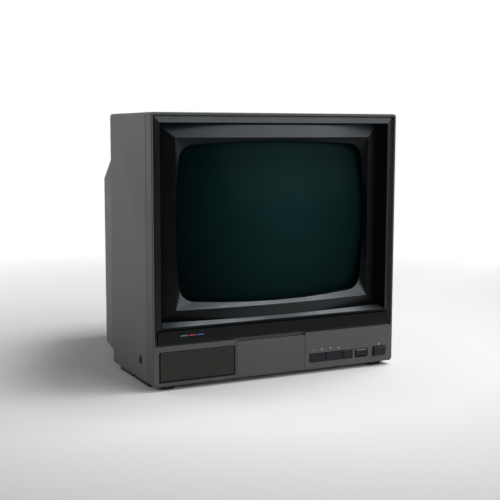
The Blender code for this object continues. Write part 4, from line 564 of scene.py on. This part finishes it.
def prism(shape, points, front, back):
    """Adds a flat shape with a thickness to a bmesh, from corners in X and Z that run against the clock."""
    near = [shape.verts.new((x, front, z)) for x, z in points]
    far = [shape.verts.new((x, back, z)) for x, z in points]
    shape.faces.new(near)
    shape.faces.new(reversed(far))
    for index in range(len(points)):
        after = (index + 1) % len(points)
        shape.faces.new((near[after], near[index], far[index], far[after]))


def arc(radius, start, end, steps):
    """Points on a circle between two angles in degrees, from the top against the clock."""
    points = []
    for index in range(steps + 1):
        angle = math.radians(start + (end - start) * index / steps)
        points.append((-radius * math.sin(angle), radius * math.cos(angle)))
    return points


def sign_shapes():
    """Corners of the printed signs round their own centre: minus, plus, down, up, dot and power."""
    half = SIGN_SIZE / 2
    thin = SIGN_LINE / 2
    base = half * ARROW_BASE
    tip = half * ARROW_TIP
    bar = [(-half, -thin), (half, -thin), (half, thin), (-half, thin)]
    post_low = [(-thin, -half), (thin, -half), (thin, -thin), (-thin, -thin)]
    post_high = [(-thin, thin), (thin, thin), (thin, half), (-thin, half)]
    outside = arc(half, POWER_GAP, 360 - POWER_GAP, SIGN_ROUND)
    inside = arc(half - SIGN_LINE, POWER_GAP, 360 - POWER_GAP, SIGN_ROUND)
    stem = [(-thin, 0), (thin, 0), (thin, half), (-thin, half)]
    return {
        "minus": [bar],
        "plus": [bar, post_low, post_high],
        "down": [[(half, base), (-half, base), (0, -tip)]],
        "up": [[(-half, -base), (half, -base), (0, tip)]],
        "dot": [arc(SIGN_LINE, 0, 360 - 360 / SIGN_ROUND, SIGN_ROUND - 1)],
        "power": [outside + inside[::-1], stem],
    }


def add_signs(finishes):
    """Plain printed signs on the fascia above the keys, where the photograph has small words."""
    face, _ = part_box("front_cabinet")
    shapes = sign_shapes()
    for key, share, sign in (
        ("volume_rocker", 0.25, "minus"), ("volume_rocker", 0.75, "plus"),
        ("programme_rocker", 0.25, "down"), ("programme_rocker", 0.75, "up"),
        ("function_key", 0.5, "dot"), ("power_button", 0.5, "power"),
    ):
        lo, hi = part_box(key)
        x = lo.x + (hi.x - lo.x) * share
        z = hi.z + SIGN_RISE
        shape = bmesh.new()
        for points in shapes[sign]:
            prism(shape, [(x + across, z + rise) for across, rise in points], face.y - INK, face.y + INK)
        add_piece(f"sign_{key}_{sign}", shape, finishes["ink"], "cabinet")


def seen_rays(tree):
    """One for rays from the camera, mirrors and clear pieces, zero for light that falls on the object."""
    path = node(tree, "ShaderNodeLightPath").outputs
    total = path["Is Camera Ray"]
    for name in ("Is Glossy Ray", "Is Transmission Ray"):
        added = node(tree, "ShaderNodeMath", {0: total, 1: path[name]}, operation="ADD", use_clamp=True)
        total = added.outputs["Value"]
    return total


def room_level(tree, way):
    """Brightness of the studio along a direction: a white sweep behind the object, dimmer in front."""
    depth = node(tree, "ShaderNodeSeparateXYZ", {"Vector": way}).outputs["Y"]
    return spread(tree, depth, ROOM_FRONT, 1.0, -0.5, 0.5)


def add_world():
    """The studio round the object, seen and mirrored alike, with a softer even light on matt faces."""
    world = bpy.data.worlds.new("studio")
    bpy.context.scene.world = world
    world.use_nodes = True
    tree = world.node_tree
    tree.nodes.clear()
    way = node(tree, "ShaderNodeTexCoord").outputs["Generated"]
    seen = node(tree, "ShaderNodeBackground", {"Color": WHITE, "Strength": room_level(tree, way)})
    soft = node(tree, "ShaderNodeBackground", {"Color": WHITE, "Strength": ROOM_LIGHT})
    inputs = {0: seen_rays(tree), 1: soft.outputs[0], 2: seen.outputs[0]}
    mixed = node(tree, "ShaderNodeMixShader", inputs)
    node(tree, "ShaderNodeOutputWorld", {"Surface": mixed.outputs[0]})


def floor_finish():
    """Pale matt floor that turns into the studio's own white away from the object."""
    made = bpy.data.materials.new("floor_pale")
    made.use_nodes = True
    tree = made.node_tree
    tree.nodes.clear()
    place = node(tree, "ShaderNodeTexCoord").outputs["Object"]
    far = spread(tree, measure(tree, "LENGTH", place), 0.0, 1.0, FLOOR_NEAR, FLOOR_FAR)
    fade = node(tree, "ShaderNodeMath", {0: far, 1: seen_rays(tree)}, operation="MULTIPLY")
    way = node(tree, "ShaderNodeVectorMath", {0: place}, operation="NORMALIZE").outputs["Vector"]
    matt = node(tree, "ShaderNodeBsdfDiffuse", {"Color": tone(*FLOOR_TONE)})
    white = node(tree, "ShaderNodeEmission", {"Color": WHITE, "Strength": room_level(tree, way)})
    inputs = {0: fade.outputs["Value"], 1: matt.outputs[0], 2: white.outputs[0]}
    mixed = node(tree, "ShaderNodeMixShader", inputs)
    node(tree, "ShaderNodeOutputMaterial", {"Surface": mixed.outputs[0]})
    return made


def add_floor():
    """A wide floor that keeps the object's shadow."""
    shape = bmesh.new()
    bmesh.ops.create_grid(shape, x_segments=1, y_segments=1, size=FLOOR_SIZE / 2)
    made = mesh_object("floor", shape, floor_finish())


def add_lamp(name, place, aim, size, power):
    """A square soft lamp."""
    lamp = bpy.data.lights.new(name, "AREA")
    lamp.shape = "SQUARE"
    lamp.size = size
    lamp.energy = power
    made = bpy.data.objects.new(name, lamp)
    made.location = place
    made.rotation_euler = (Vector(aim) - Vector(place)).to_track_quat("-Z", "Y").to_euler()
    bpy.context.scene.collection.objects.link(made)


def add_camera():
    """The camera at the photograph's place."""
    lo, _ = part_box("front_cabinet")
    turn = math.radians(CAMERA_AZIMUTH)
    rise = math.radians(CAMERA_ELEVATION)
    roll = math.radians(CAMERA_ROLL)
    back = Vector((math.sin(turn) * math.cos(rise), -math.cos(turn) * math.cos(rise), math.sin(rise)))
    level = Vector((math.cos(turn), math.sin(turn), 0))
    right = math.cos(roll) * level + math.sin(roll) * back.cross(level)
    up = back.cross(right)
    data = bpy.data.cameras.new("camera")
    data.lens = CAMERA_LENS
    data.sensor_width = CAMERA_SENSOR
    made = bpy.data.objects.new("camera", data)
    place = Vector(CAMERA_PLACE) + Vector((0, lo.y, lo.z))
    made.matrix_world = Matrix.Translation(place) @ Matrix((right, up, back)).transposed().to_4x4()
    bpy.context.scene.collection.objects.link(made)
    bpy.context.scene.camera = made


finishes = make_finishes()
plain = smoothing(SMOOTH_ANGLE)
crisp = smoothing(CRISP_ANGLE)
dress_nodes(finishes, plain, crisp)
add_grille(finishes)
add_sill(finishes, crisp)
add_bars(finishes)
add_signs(finishes)
add_world()
add_floor()
for name, lamp in LAMPS.items():
    add_lamp(name, *lamp)
add_camera()
bpy.context.scene.view_settings.view_transform = "Standard"
